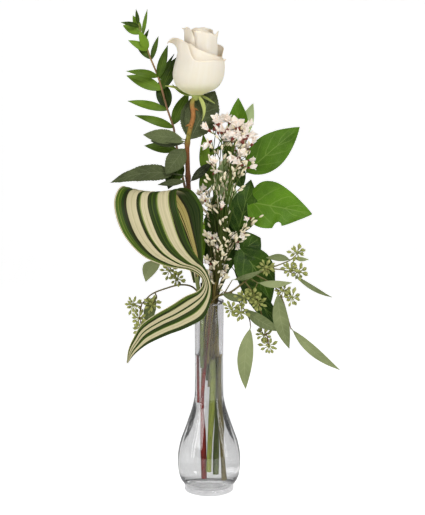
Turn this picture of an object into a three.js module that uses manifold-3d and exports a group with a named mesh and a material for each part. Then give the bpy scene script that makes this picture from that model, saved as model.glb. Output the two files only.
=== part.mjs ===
// Rose in a bud vase, millimetres, +Z up.
// The origin is the centre of the vase's flat underside. The front of the arrangement faces -Y.
import * as THREE from 'three';
import { mergeVertices } from 'three/addons/utils/BufferGeometryUtils.js';
import Module from 'manifold-3d';

const wasm = await Module();
wasm.setup();

// Driving dimensions of the vase
const VASE_HEIGHT = 203;
const NECK_RADIUS = 15;
const NECK_BORE = 12.2;
const RIM_FLARE = 1.2;
const BULB_RADIUS = 33;
const FOOT_RADIUS = 26.5;
const FLUTES = 14;
const FLUTE_DEPTH = 0.3;
const WATER_LEVEL = 148;
const CLEARANCE = 0.35;

// Driving dimensions of the plants
const BLOOM_BASE = [-13, 0, 421];
const BLOOM_LEAN = 0.05;
const BLOOM_HEIGHT = 63;
const ROSE_STEM_RADIUS = 2.6;
const LEAF_THICKNESS = 0.8;
const PETIOLE_HALF_WIDTH = 0.5;
const PETAL_THICKNESS = 0.9;
const PETAL_ROOT = 4.5;
const SEEDS_PER_HEAD = 3;
const SEED_RADIUS = 1.7;
const SEED_REACH = 6.5;
const BUD_LENGTH = 3.4;

const v3 = (p) => new THREE.Vector3(...p);
const UP = new THREE.Vector3(0, 0, 1);
const FRONT = new THREE.Vector3(0, -1, 0.25).normalize();

// Small seeded generator, so that every build draws the same numbers
function seeded(seed) {
  let state = seed;
  return () => {
    state = (state * 16807) % 2147483647;
    return state / 2147483647;
  };
}

// A closed body from shared vertices, with collapsed triangles left out
function bodyFrom(positions, faces) {
  const loose = new THREE.BufferGeometry();
  loose.setAttribute('position', new THREE.Float32BufferAttribute(positions, 3));
  loose.setIndex(faces.flat());
  return toSolid(loose);
}

function toSolid(geometry) {
  geometry.deleteAttribute('normal');
  geometry.deleteAttribute('uv');
  const merged = mergeVertices(geometry, 1e-4);
  const index = merged.index.array;
  const kept = [];
  for (let i = 0; i < index.length; i += 3) {
    const [a, b, c] = [index[i], index[i + 1], index[i + 2]];
    if (a !== b && b !== c && a !== c) kept.push(a, b, c);
  }
  return new wasm.Manifold(new wasm.Mesh({
    numProp: 3,
    vertProperties: new Float32Array(merged.attributes.position.array),
    triVerts: new Uint32Array(kept),
  }));
}

// A body lofted through rings of equally many points, closed by a fan at each end
function loft(rings) {
  const sides = rings[0].length;
  const positions = rings.flat().flatMap((p) => [p.x, p.y, p.z]);
  const faces = [];
  for (let i = 0; i + 1 < rings.length; i++) {
    for (let j = 0; j < sides; j++) {
      const a = i * sides + j;
      const b = i * sides + ((j + 1) % sides);
      faces.push([a, b, b + sides], [a, b + sides, a + sides]);
    }
  }
  const last = (rings.length - 1) * sides;
  for (let j = 1; j + 1 < sides; j++) {
    faces.push([0, j + 1, j], [last, last + j, last + j + 1]);
  }
  return bodyFrom(positions, faces);
}

// A round stalk along a curve whose radius tapers from r0 to r1, begun early by the given length
function stalk(curve, r0, r1, sides, steps, early = 0) {
  const rings = [];
  const side = new THREE.Vector3(1, 0, 0);
  for (let i = 0; i <= steps; i++) {
    const t = i / steps;
    const along = curve.getTangent(t);
    const centre = curve.getPoint(t).addScaledVector(along, i === 0 ? -early : 0);
    side.addScaledVector(along, -side.dot(along)).normalize();
    const other = along.clone().cross(side);
    const radius = r0 + (r1 - r0) * t;
    rings.push(Array.from({ length: sides }, (_, j) => {
      const angle = (j / sides) * Math.PI * 2;
      return centre.clone()
        .addScaledVector(side, Math.cos(angle) * radius)
        .addScaledVector(other, Math.sin(angle) * radius);
    }));
  }
  return loft(rings);
}

const smoothCurve = (points) => new THREE.CatmullRomCurve3(points.map(v3), false, 'catmullrom', 0.5);

const straight = (a, b, r0, r1, sides = 3) => stalk(new THREE.LineCurve3(a, b), r0, r1, sides, 1);

// The point of a rising stem at a given height
function atHeight(curve, z) {
  let [low, high] = [0, 1];
  for (let i = 0; i < 40; i++) {
    const middle = (low + high) / 2;
    if (curve.getPoint(middle).z < z) low = middle;
    else high = middle;
  }
  return curve.getPoint(low);
}

// The two faces of a thin sheet over a grid of points, apart along the normals given with them
function bothFaces(grid, normals, thickness) {
  return [0.5, -0.5].map((offset) => grid.map((row, i) => row.map((point, j) => (
    point.clone().addScaledVector(normals[i][j], offset * thickness)
  ))));
}

// A body between a front and a back grid of points.
// Both faces are split along the same diagonals, so they never cross.
function sheet([front, behind]) {
  const rows = front.length;
  const cols = front[0].length;
  const positions = [front, behind].flatMap((face) => face.flat().flatMap((p) => [p.x, p.y, p.z]));
  const back = rows * cols;
  const faces = [];
  const quad = (a, b, c, d) => faces.push([a, b, c], [a, c, d]);
  for (let i = 0; i + 1 < rows; i++) {
    for (let j = 0; j + 1 < cols; j++) {
      const a = i * cols + j;
      quad(a, a + 1, a + cols + 1, a + cols);
      faces.push([back + a, back + a + cols + 1, back + a + 1]);
      faces.push([back + a, back + a + cols, back + a + cols + 1]);
    }
    const left = i * cols;
    const right = left + cols - 1;
    quad(left, left + cols, back + left + cols, back + left);
    quad(right + cols, right, back + right, back + right + cols);
  }
  for (let j = 0; j + 1 < cols; j++) {
    const far = (rows - 1) * cols + j;
    quad(j + 1, j, back + j, back + j + 1);
    quad(far, far + 1, back + far + 1, back + far);
  }
  return bodyFrom(positions, faces);
}

// Half width of a leaf blade along its length: widest at the given share, pointed at both ends
function leafOutline(t, peak) {
  const power = Math.log(0.5) / Math.log(peak);
  return Math.pow(Math.sin(Math.PI * Math.pow(t, power)), 0.85);
}

// A leaf from its root on the stem to its tip. It is folded along the midrib and arched,
// and faces the front unless it is turned about its own length.
function leaf(root, tip, width, form = {}) {
  const { rows = 4, cols = 2, peak = 0.45, petiole = 0, teeth = 0 } = form;
  const { arch = 0.08, fold = 0.18, turn = 0, sweep = 0, wave = 0, face = FRONT } = form;
  const length = root.distanceTo(tip);
  const along = tip.clone().sub(root).normalize();
  const side = along.clone().cross(face).normalize().applyAxisAngle(along, turn);
  const normal = side.clone().cross(along).normalize();
  const grid = [];
  const normals = [];
  for (let i = 0; i <= rows; i++) {
    const t = i / rows;
    const blade = Math.max(0, (t - petiole) / (1 - petiole));
    const tooth = teeth && i > 0 && i < rows ? 1 + (i % 2 ? teeth : -teeth) : 1;
    const least = i > 0 && i < rows ? PETIOLE_HALF_WIDTH : 0;
    const half = Math.max(least, (width / 2) * leafOutline(blade, peak) * tooth);
    const bow = 4 * t * (1 - t);
    const centre = root.clone().addScaledVector(along, length * t)
      .addScaledVector(normal, bow * arch * length)
      .addScaledVector(side, bow * sweep * length);
    grid.push(Array.from({ length: cols + 1 }, (_, j) => {
      const across = (2 * j) / cols - 1;
      const lift = Math.abs(across) * fold * half + wave * width * across * Math.sin(t * 9);
      return centre.clone().addScaledVector(side, across * half).addScaledVector(normal, lift);
    }));
    normals.push(new Array(cols + 1).fill(normal));
  }
  return sheet(bothFaces(grid, normals, LEAF_THICKNESS));
}

// A seed or bud with few sides, stretched along its axis; belly moves its widest ring outwards
function pip(centre, along, radius, length, sides = 4, belly = 0) {
  const axis = along.clone().normalize();
  const side = new THREE.Vector3(0.3, 0.8, 0.2).cross(axis).normalize();
  const other = axis.clone().cross(side);
  const ring = (share, r) => Array.from({ length: sides }, (_, j) => {
    const angle = (j / sides) * Math.PI * 2;
    return centre.clone().addScaledVector(axis, share * length)
      .addScaledVector(side, Math.cos(angle) * r)
      .addScaledVector(other, Math.sin(angle) * r);
  });
  return loft([ring(-0.5, 0), ring(belly, radius), ring(0.5, 0)]);
}

// The outer skin alone, so that small hollows sealed by joining are filled
const filled = (solid) => solid.decompose().sort((a, b) => b.volume() - a.volume())[0];

const join = (solids) => solids.reduce((sum, next) => sum.add(next));

function asMesh(name, solid, material) {
  const { vertProperties, triVerts } = solid.getMesh();
  const geometry = new THREE.BufferGeometry();
  geometry.setAttribute('position', new THREE.BufferAttribute(new Float32Array(vertProperties), 3));
  geometry.setIndex(new THREE.BufferAttribute(new Uint32Array(triVerts), 1));
  geometry.computeVertexNormals();
  const mesh = new THREE.Mesh(geometry, material);
  mesh.name = name;
  return mesh;
}

const paint = (color, roughness) => new THREE.MeshStandardMaterial({ color, roughness });

// Stems, from the cut end in the vase up to the tip. Each row is a point [x, y, z].
const STEMS = {
  rose: [[-0.4, -2.8, 22], [1, -2.8, 60], [3, -3, 117], [1.5, -2, 170], [0, 0, 208], [-8, 3, 240],
    [-18, 4, 285], [-21, 2, 322], [-22, 0, 352], [-22, 0, 369], [-19, 0, 384], [-16, 0, 396],
    [-17, 0, 409], [-13.6, 0, 417]],
  ruscusTall: [[5, 2.6, 18], [5.6, 2.8, 60], [5, 4.2, 117], [2, 7.5, 170], [-3, 9, 208], [-10, 14, 245],
    [-20, 18, 298], [-29, 19, 339], [-35, 20, 372], [-37, 22, 384], [-43, 22, 402], [-52, 22, 434],
    [-60, 21, 454], [-64, 21, 466], [-69, 20, 479], [-73, 19, 492]],
  ruscusBack: [[-1, 8, 118], [-1, 8, 150], [-4, 6, 185], [-6.4, 7, 208], [-7, 11, 250], [-8, 13, 288],
    [-7, 13, 335], [-3, 14, 355], [2, 15, 369]],
  salal: [[11.5, 3, 12], [9.8, 0.6, 60], [8.2, -0.6, 117], [8.5, 1.3, 170], [7.9, 4.3, 206], [20, 15, 235],
    [29, 21, 268], [35, 24, 302], [35, 26, 330], [31, 26, 359], [28, 24, 384]],
  eucalyptusRight: [[-4, 1.6, 14], [-4.8, 1.2, 60], [-5.6, -1.4, 100], [-3.6, -5, 137], [-1, -6.5, 170],
    [4, -8, 206], [24, -11, 217], [44, -9, 232], [62, -7, 240]],
  eucalyptusLeft: [[-8.6, 0, 95], [-9, 0.4, 150], [-8.6, 0.5, 190], [-9.5, 1, 208], [-17, 0, 219],
    [-30, -3, 222], [-46, -4, 218], [-60, -4, 212], [-70, -6, 202]],
  broomFront: [[0, 3.4, 112], [2, 3, 150], [4.1, 2.2, 172], [5, 0.4, 190], [6, -1.4, 208], [12, -3, 240],
    [16, -4, 279], [20, -4, 320], [23, -3, 362], [24, -2, 389]],
  broomBack: [[-5, 4, 112], [-4, 4, 150], [-2, 3.2, 172], [2.4, 5.2, 208], [8, 6, 240], [8, 6, 279],
    [5, 7, 310], [4, 7, 345]],
  striped: [[-6.4, -7.4, 135], [-7, -7, 170], [-5.6, -8, 204], [-10, -12, 216], [-13, -13, 232]],
};
const stems = Object.fromEntries(Object.entries(STEMS).map(([key, points]) => [key, smoothCurve(points)]));

// Thick end and thin end radius of each stem, and how many sides and steps it is drawn with
const STEM_SIZES = {
  rose: [ROSE_STEM_RADIUS, 2.3, 7, 18],
  ruscusTall: [1.8, 0.7, 4, 14],
  ruscusBack: [1.2, 0.7, 4, 11],
  salal: [2.4, 0.9, 5, 12],
  eucalyptusRight: [1.9, 0.8, 5, 12],
  eucalyptusLeft: [1.2, 0.7, 4, 12],
  broomFront: [1.2, 0.6, 4, 13],
  broomBack: [1.0, 0.6, 4, 11],
  striped: [1.8, 2.2, 6, 8],
};
const stemSolid = (key, extra = 0) => {
  const [r0, r1, sides, steps] = STEM_SIZES[key];
  return stalk(stems[key], r0 + extra, r1 + extra, sides, steps, extra);
};

// Wall of the vase: outside from the foot up to the rim, then inside down to the thick bottom
const OUTSIDE = [
  [FOOT_RADIUS, 0], [26, 4], [25.4, 5.4], [26.6, 7], [29, 9.5], [31.6, 15], [BULB_RADIUS, 24],
  [BULB_RADIUS, 38], [30.4, 52], [26.3, 64], [22.5, 75], [18.6, 87], [16.2, 97],
  [NECK_RADIUS, 110], [NECK_RADIUS, 165], [15.3, VASE_HEIGHT - 0.8], [14.6, VASE_HEIGHT],
];
const INSIDE = [
  [NECK_BORE, VASE_HEIGHT - 1], [NECK_BORE, WATER_LEVEL], [NECK_BORE, 106], [13.4, 96], [15.6, 87],
  [19.2, 75], [23, 64], [27, 52], [29.7, 38], [29.8, 24], [28, 15], [24, 10], [16, 7.8], [0, 7.2],
];

function fluted(geometry) {
  const position = geometry.attributes.position;
  for (let i = 0; i < position.count; i++) {
    const [x, y, z] = [position.getX(i), position.getY(i), position.getZ(i)];
    const radius = Math.hypot(x, y);
    const onBulb = radius > NECK_RADIUS && z > 6 && z < 96;
    const height = Math.sin(Math.PI * THREE.MathUtils.clamp((z - 6) / 90, 0, 1));
    const depth = onBulb ? FLUTE_DEPTH * height * Math.cos(FLUTES * Math.atan2(y, x)) : 0;
    position.setXY(i, x * (1 + depth / Math.max(radius, 1)), y * (1 + depth / Math.max(radius, 1)));
  }
  return geometry;
}

function turned(profile) {
  const points = profile.map(([r, z]) => new THREE.Vector2(r, z));
  return new THREE.LatheGeometry(points, 2 * FLUTES).rotateX(Math.PI / 2);
}

function makeVase() {
  const outside = toSolid(fluted(turned([[0, 0], ...OUTSIDE, [0, VASE_HEIGHT]])));
  const flare = NECK_BORE + RIM_FLARE;
  const mouth = [[flare, VASE_HEIGHT + 0.2], [flare, VASE_HEIGHT + 5], [0, VASE_HEIGHT + 5]];
  return outside.subtract(toSolid(turned([...INSIDE].reverse().concat(mouth))));
}

function makeWater() {
  const wetted = INSIDE.filter(([, z]) => z <= WATER_LEVEL).reverse();
  const shrunk = wetted.map(([r, z]) => [Math.max(0, r - CLEARANCE), Math.min(z + CLEARANCE, WATER_LEVEL)]);
  let water = toSolid(turned([...shrunk, [0, WATER_LEVEL]]));
  Object.keys(STEMS).forEach((key) => {
    water = water.subtract(stemSolid(key, CLEARANCE));
  });
  const pieces = water.decompose();
  return pieces.sort((a, b) => b.volume() - a.volume())[0];
}

// Leaves of a stem: rows of [height of the root on the stem, tip x, y, z, width, options]
function leafyStem(key, rows, form) {
  const parts = rows.map(([height, x, y, z, width, own]) => (
    leaf(atHeight(stems[key], height), new THREE.Vector3(x, y, z), width, { ...form, ...own })
  ));
  return join([stemSolid(key), ...parts]);
}

const RUSCUS_TALL_LEAVES = [
  [488, -74, 18, 503, 4], [486, -89, 12, 490, 5], [479, -88, 26, 487, 10], [480, -78, 28, 497, 7],
  [476, -63, 26, 503, 4], [472, -61, 14, 483, 3.5], [463, -71, 12, 482, 9], [462, -82, 14, 472, 8],
  [453, -75, 28, 468, 7], [452, -52, 27, 476, 5.5], [435, -84, 12, 441, 8, { arch: 0.16 }],
  [422, -85, 28, 436, 13], [434, -42, 14, 467, 9], [432, -36, 32, 458, 4], [422, -33, 32, 455, 13],
  [402, -51, 34, 432, 16], [401, -84, 28, 410, 9], [383, -76, 14, 396, 9, { arch: 0.14 }],
  [386, -21, 30, 419, 13], [360, -67, 24, 364, 11], [350, -42, 6, 321, 18],
];
const RUSCUS_BACK_LEAVES = [
  [340, -6, 10, 377, 10], [362, 6, 22, 356, 5], [352, 23, 20, 370, 4], [246, -5, 8, 290, 5],
  [316, 7, 20, 352, 13],
];
const ROSE_LEAVES = [
  [366, 6, 14, 421, 34], [368, -13, 16, 417, 24], [372, -67, 4, 377, 15],
  [368, -60, 12, 370, 11, { rows: 4 }], [370, -44, -6, 371, 4, { rows: 3 }], [366, -44, -8, 338, 20],
  [334, -101, 2, 328, 17, { rows: 8, petiole: 0.2, sweep: 0.08, peak: 0.34 }],
  [330, -52, -8, 327, 7, { rows: 3 }],
  [327, 3, 10, 348, 9, { rows: 4 }],
];
const SALAL_LEAVES = [
  [332, 95, 42, 382, 36], [306, 107, 12, 294, 50, { peak: 0.3 }], [268, 44, 28, 328, 31],
  [248, 56, 24, 268, 32], [262, 65, 14, 199, 34], [240, 79, 10, 167, 19, { peak: 0.5 }],
  [372, 30, 12, 414, 21], [366, 49, 40, 409, 9, { rows: 4 }],
  [296, 20, -1, 354, 19, { turn: Math.PI, sweep: 0.18, rows: 5 }],
  [222, 9, 27, 316, 36, { arch: -0.04, rows: 6 }], [316, 17, 30, 374, 15, { rows: 4 }],
];

// Thorns of the rose cane: [height, turn around the cane in degrees]
const THORNS = [[404, 20], [388, 200], [357, 150], [310, 30]];

function thorn(height, degrees) {
  const root = atHeight(stems.rose, height);
  const angle = THREE.MathUtils.degToRad(degrees);
  const out = new THREE.Vector3(Math.cos(angle), Math.sin(angle), -0.25).normalize();
  const start = root.clone().addScaledVector(out, ROSE_STEM_RADIUS * 0.5);
  return straight(start, root.clone().addScaledVector(out, ROSE_STEM_RADIUS + 4), 1.4, 0.2, 4);
}

// Hip under the bloom: [radius, depth below the bloom], and the tips of its sepals
const HIP = [[2.2, 8.4], [3.2, 6.8], [4.8, 4.8], [5.4, 3], [5.6, 1.2]];
const SEPAL_TIPS = [[-44, -8, 427], [-37, 6, 428], [-7, -9, 392], [6, 2, 409], [-16, 14, 404]];

function makeHip() {
  const rings = HIP.map(([radius, depth]) => Array.from({ length: 8 }, (_, j) => {
    const angle = (j / 8) * Math.PI * 2;
    const offset = new THREE.Vector3(Math.cos(angle) * radius, Math.sin(angle) * radius, -depth);
    return v3(BLOOM_BASE).add(offset);
  }));
  const sepals = SEPAL_TIPS.map((point) => {
    const tip = v3(point);
    const out = tip.clone().sub(v3(BLOOM_BASE)).setZ(0).normalize();
    const root = v3(BLOOM_BASE).addScaledVector(out, 3.4).addScaledVector(UP, -3.6);
    return leaf(root, tip, 4.6, { rows: 3, peak: 0.35, arch: -0.06, face: UP });
  });
  return [loft(rings), ...sepals];
}

function makeRoseStem() {
  const cane = leafyStem('rose', ROSE_LEAVES, { rows: 6, teeth: 0.07, petiole: 0.12, fold: 0.14 });
  return join([cane, ...makeHip(), ...THORNS.map(([height, degrees]) => thorn(height, degrees))]);
}

const makeRuscusTall = () => leafyStem('ruscusTall', RUSCUS_TALL_LEAVES, { rows: 4, peak: 0.42 });
const makeRuscusBack = () => leafyStem('ruscusBack', RUSCUS_BACK_LEAVES, { rows: 4, peak: 0.42 });

const makeSalal = () => leafyStem('salal', SALAL_LEAVES, {
  rows: 6, peak: 0.38, petiole: 0.08, wave: 0.02, fold: 0.2,
});

// Bloom: radius of the outermost petals as [share of the head's height, radius]
const HEAD = [
  [0, 10], [0.08, 18.6], [0.16, 23], [0.27, 26], [0.4, 25.6], [0.55, 24.1], [0.7, 23.2], [1, 21.5],
];
// Whorls of petals from the outside in. Each petal is [direction in degrees, share of the height
// of its rim, fall of the rim towards its sides, outward roll of the rim].
const WHORLS = [
  { inset: 0,
    foot: 0.04,
    petals: [[20, 0.64, 0.1, 2.5], [110, 0.62, 0.12, 4], [200, 0.79, 0.34, 12], [290, 0.51, 0.05, 2]] },
  { inset: 2.9, foot: 0.3, petals: [[35, 0.8, 0.1, 2.5], [140, 0.74, 0.14, 4], [255, 0.68, 0.14, 1.5]] },
  { inset: 6.6, foot: 0.46, petals: [[80, 0.98, 0.06, 2.5], [200, 1, 0.07, 3], [320, 0.95, 0.08, 3]] },
  { inset: 10, foot: 0.6, petals: [[30, 0.95, 0.05, 0.6], [210, 0.93, 0.05, 0.6]] },
];
const PETAL_COLUMNS = 5;
const PETAL_ROWS = 4;
const PETAL_TUCK = 0.7;
// Core: [radius, share of the height]
const CORE = [
  [3.2, -0.015], [8, 0.005], [16.4, 0.07], [23.4, 0.22], [23.6, 0.34], [17, 0.55], [11, 0.74], [2, 0.82],
];

function headRadius(share) {
  const next = Math.max(1, HEAD.findIndex(([level]) => level >= Math.min(share, 1)));
  const [[low, r0], [high, r1]] = [HEAD[next - 1], HEAD[next]];
  return THREE.MathUtils.lerp(r0, r1, (share - low) / (high - low));
}

function headPoint(share, inset, degrees) {
  const radius = headRadius(share) - inset;
  const angle = THREE.MathUtils.degToRad(degrees);
  const z = share * BLOOM_HEIGHT;
  return v3(BLOOM_BASE).add(new THREE.Vector3(
    Math.cos(angle) * radius + z * BLOOM_LEAN, Math.sin(angle) * radius, z,
  ));
}

// One upright section through a petal: up its outside and down its inside.
// The petal is thin at its rim and thicker towards its foot, which is sunk in the core.
function petalSection(degrees, foot, edge, inset, roll) {
  const angle = THREE.MathUtils.degToRad(degrees);
  const out = new THREE.Vector3(Math.cos(angle), Math.sin(angle), 0);
  const outside = [];
  const inside = [];
  for (let i = 0; i <= PETAL_ROWS; i++) {
    const t = i / PETAL_ROWS;
    const point = headPoint(foot + (edge - foot) * t, inset, degrees);
    point.addScaledVector(out, roll * Math.pow(t, 6));
    point.z -= 0.35 * roll * Math.pow(t, 8);
    outside.push(point);
    inside.unshift(point.clone().addScaledVector(out, -PETAL_THICKNESS - PETAL_ROOT * (1 - t) * (1 - t)));
  }
  return [...outside, ...inside];
}

// A whorl is one closed ring of petals; each laps over the next with a small step
function whorl({ inset, foot, petals }) {
  const span = 360 / petals.length;
  const sections = petals.flatMap(([direction, rim, fall, roll]) => (
    Array.from({ length: PETAL_COLUMNS }, (_, j) => {
      const across = (2 * j) / (PETAL_COLUMNS - 1) - 1;
      const edge = rim * (1 - fall * Math.pow(Math.abs(across), 1.6));
      const curl = roll * (1 - 0.75 * across * across);
      const facing = direction + 0.485 * span * across;
      return petalSection(facing, foot, edge, inset + PETAL_TUCK * across, curl);
    })
  ));
  const around = sections.length;
  const loop = sections[0].length;
  const positions = sections.flat().flatMap((p) => [p.x, p.y, p.z]);
  const faces = [];
  for (let i = 0; i < around; i++) {
    for (let j = 0; j < loop; j++) {
      const a = i * loop + j;
      const b = i * loop + ((j + 1) % loop);
      const c = ((i + 1) % around) * loop + ((j + 1) % loop);
      const d = ((i + 1) % around) * loop + j;
      faces.push([a, d, c], [a, c, b]);
    }
  }
  return bodyFrom(positions, faces);
}

function makeBloom() {
  const ring = ([radius, share]) => Array.from({ length: 12 }, (_, j) => {
    const angle = (j / 12) * Math.PI * 2;
    return v3(BLOOM_BASE).add(new THREE.Vector3(
      Math.cos(angle) * radius + share * BLOOM_HEIGHT * BLOOM_LEAN,
      Math.sin(angle) * radius,
      share * BLOOM_HEIGHT,
    ));
  });
  return filled(join([loft(CORE.map(ring)), ...WHORLS.map(whorl)]));
}

// Striped leaf: stations along the blade from its foot to its tip, each with the left and right
// margin. It rises at the back, rolls over the top, comes down the front, turns at the waist and
// ends at lower left.
const STRIPED_STATIONS = [
  [[-16, -12, 226], [-10, -12, 226]], [[-23, -13, 246], [-7, -10, 250]], [[-45, -15, 274], [-7, -7, 276]],
  [[-70, -14, 300], [-6, -8, 299]], [[-82, -14, 316], [-10, -12, 312]], [[-85, -22, 327], [-18, -20, 323]],
  [[-91, -36, 325], [-31, -36, 326]], [[-94, -47, 313], [-32, -46, 313]], [[-90, -54, 295], [-27, -50, 295]],
  [[-81, -56, 278], [-21, -48, 276]], [[-65, -54, 261], [-15, -43, 263]], [[-43, -48, 250], [-8, -37, 252]],
  [[-22, -40, 245], [-4, -33, 246]], [[-10, -33, 238], [0, -28, 236]], [[-6, -30, 229], [3, -25, 222]],
  [[-11, -34, 222], [1, -27, 207]], [[-24, -38, 217], [-6, -32, 193]], [[-39, -42, 208], [-24, -38, 184]],
  [[-54, -46, 200], [-42, -42, 178]], [[-68, -50, 190], [-59, -46, 171]], [[-76, -52, 177], [-68, -50, 166]],
  [[-81, -52, 165], [-76, -51, 159]], [[-83, -51, 151], [-82, -51, 151]],
];
const STRIPED_CAMBER = 0.07;
const STRIPED_THICKNESS = 1;

function gridNormals(grid) {
  return grid.map((row, i) => row.map((_, j) => {
    const up = grid[Math.min(i + 1, grid.length - 1)][j].clone().sub(grid[Math.max(i - 1, 0)][j]);
    const right = row[Math.min(j + 1, row.length - 1)].clone().sub(row[Math.max(j - 1, 0)]);
    return right.cross(up).normalize();
  }));
}

function makeStripedLeaf() {
  const [rows, cols] = [33, 4];
  const left = smoothCurve(STRIPED_STATIONS.map(([margin]) => margin));
  const right = smoothCurve(STRIPED_STATIONS.map(([, margin]) => margin));
  const flat = Array.from({ length: rows + 1 }, (_, i) => {
    const [a, b] = [left.getPoint(i / rows), right.getPoint(i / rows)];
    return Array.from({ length: cols + 1 }, (__, j) => a.clone().lerp(b, j / cols));
  });
  const lifted = gridNormals(flat).map((row, i) => row.map((normal, j) => {
    const across = (2 * j) / cols - 1;
    const width = flat[i][0].distanceTo(flat[i][cols]);
    return flat[i][j].clone().addScaledVector(normal, STRIPED_CAMBER * width * (1 - across * across));
  }));
  return join([stemSolid('striped'), sheet(bothFaces(lifted, gridNormals(lifted), STRIPED_THICKNESS))]);
}

// Sprays with side twigs. Each twig starts at a share of the stem and runs through its points;
// a leaf is [share of the twig, tip x, y, z, width, options] and a seed head is its centre.
const EUCALYPTUS_RIGHT = [
  { from: 0.67, path: [[15, -14, 217]], leaves: [[0.5, 43, -18, 210, 8]], heads: [[36, -18, 212]] },
  { from: 0.7, path: [[24, -12, 229]], leaves: [[1, 55, -16, 240, 5.5]], heads: [] },
  { from: 0.74, path: [[32, -14, 205], [41, -16, 190], [43, -18, 181]],
    leaves: [[1, 38, -22, 116, 16, { petiole: 0.04 }], [0.45, 74, -20, 177, 12]],
    heads: [[23, -20, 200], [33, -20, 196]] },
  { from: 0.83, path: [[50, -12, 208], [56, -14, 185], [60, -15, 170]], leaves: [],
    heads: [[50, -18, 206], [62, -16, 160], [57, -13, 171]] },
  { from: 0.86, path: [[50, -12, 226]], leaves: [[1, 85, -16, 227, 7.5]], heads: [[45, -16, 213]] },
  { from: 0.9, path: [[65, -10, 224], [76, -12, 208], [85, -13, 177]],
    leaves: [[0.98, 134, -32, 139, 10], [0.5, 83, -18, 158, 16]], heads: [[86, -14, 211], [77, -10, 217]] },
  { from: 1, path: [[77, -5, 238], [86, -6, 235]], leaves: [[1, 128, 2, 208, 5]],
    heads: [[59, -8, 241], [84, -6, 239], [93, -4, 236]] },
  { from: 1, path: [[82, -3, 247], [90, -3, 253]],
    leaves: [[0.8, 103, -4, 249, 4.5], [0.6, 59, -6, 251, 7.5]], heads: [[91, -3, 256]] },
];
const EUCALYPTUS_LEFT = [
  { from: 0.66, path: [[-36, 0, 234], [-49, 5, 245]], leaves: [[1, -66, 4, 224, 15, { sweep: 0.2 }]],
    heads: [[-33, -3, 228], [-41, 1, 236]] },
  { from: 0.84, path: [[-54, -5, 210]], leaves: [[0.4, -64, -2, 177, 12]], heads: [[-59, -8, 202]] },
  { from: 1, path: [[-72, -7, 192], [-71, -8, 182]], leaves: [],
    heads: [[-79, -4, 201], [-73, -6, 187], [-71, -8, 176]] },
];

// A head of seeds round a point: each is a drop whose thin end is its short stalk
function seedHead(centre, foot, random) {
  const parts = [straight(foot, centre, 0.5, 0.6), pip(centre, UP, 1.1, 2.6, 3)];
  for (let i = 0; i < SEEDS_PER_HEAD; i++) {
    const angle = (i / SEEDS_PER_HEAD) * Math.PI * 2 + 0.5 * random();
    const out = new THREE.Vector3(Math.cos(angle), 0.8 * Math.sin(angle * 2 + 1), Math.sin(angle) + 0.2);
    out.normalize();
    const reach = SEED_REACH * (0.8 + 0.4 * random());
    parts.push(pip(centre.clone().addScaledVector(out, 0.5 * reach), out, SEED_RADIUS, reach, 3, 0.2));
  }
  return parts;
}

function makeSpray(key, twigs, seed) {
  const random = seeded(seed);
  const parts = [stemSolid(key)];
  twigs.forEach(({ from, path, leaves, heads }) => {
    const start = stems[key].getPoint(from);
    const twig = new THREE.CatmullRomCurve3([start, ...path.map(v3)], false, 'catmullrom', 0.5);
    parts.push(stalk(twig, 0.9, 0.6, 4, path.length + 1));
    leaves.forEach(([share, x, y, z, width, own]) => parts.push(
      leaf(twig.getPoint(share), new THREE.Vector3(x, y, z), width, { petiole: 0.06, sweep: 0.05, ...own }),
    ));
    heads.forEach((head) => {
      const centre = v3(head);
      const nearest = [0, 0.2, 0.4, 0.6, 0.8, 1].map((t) => twig.getPoint(t))
        .sort((a, b) => a.distanceTo(centre) - b.distanceTo(centre))[0];
      parts.push(...seedHead(centre, nearest, random));
    });
  });
  return join(parts);
}

// Broom: side twigs as [height on the stem, tip x, y, z], with buds along them and blossoms at
// their tips
const BROOM_FRONT = [
  [300, 12, -7, 391], [310, 37, -5, 385], [290, 48, -3, 369], [270, 1, -7, 382], [350, 31, -4, 396],
  [235, 44, -5, 293], [255, 4, -8, 338], [330, 50, -4, 394], [245, 12, -9, 300],
];
const BROOM_BACK = [
  [280, -5, 8, 322], [270, 28, 9, 358], [260, 37, 8, 350], [228, 30, 8, 268], [250, -1, 6, 300],
  [290, 13, 6, 372],
];

function bud(place, along, random) {
  const out = new THREE.Vector3(random() - 0.5, random() - 0.5, 0.2).normalize();
  const lean = along.clone().addScaledVector(out, 0.9).normalize();
  return pip(place.clone().addScaledVector(lean, 0.38 * BUD_LENGTH), lean, 1.1, BUD_LENGTH, 3);
}

function blossom(place, random) {
  return [0, 1].map((i) => {
    const angle = Math.PI * (0.15 + 0.7 * i) + random() * 0.6;
    const out = new THREE.Vector3(Math.cos(angle), 0.5 * Math.sin(angle), Math.sin(angle) + 0.2);
    out.normalize();
    return pip(place.clone().addScaledVector(out, 2.1), out, 1.9, 4.8, 3, 0.1);
  });
}

function makeBroom(key, twigs, spacing, seed) {
  const random = seeded(seed);
  const parts = [stemSolid(key)];
  twigs.forEach(([height, x, y, z]) => {
    const root = atHeight(stems[key], height);
    const tip = new THREE.Vector3(x, y, z);
    const length = root.distanceTo(tip);
    const middle = root.clone().lerp(tip, 0.5).addScaledVector(UP, 0.12 * length);
    const twig = new THREE.QuadraticBezierCurve3(root, middle, tip);
    parts.push(stalk(twig, 0.75, 0.5, 3, Math.ceil(length / 30)));
    const buds = Math.floor(length / spacing);
    for (let i = 1; i < buds; i++) {
      const t = (i + 0.5 * random()) / buds;
      parts.push(bud(twig.getPoint(t), twig.getTangent(t), random));
    }
    parts.push(...blossom(tip, random));
  });
  return join(parts);
}

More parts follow.
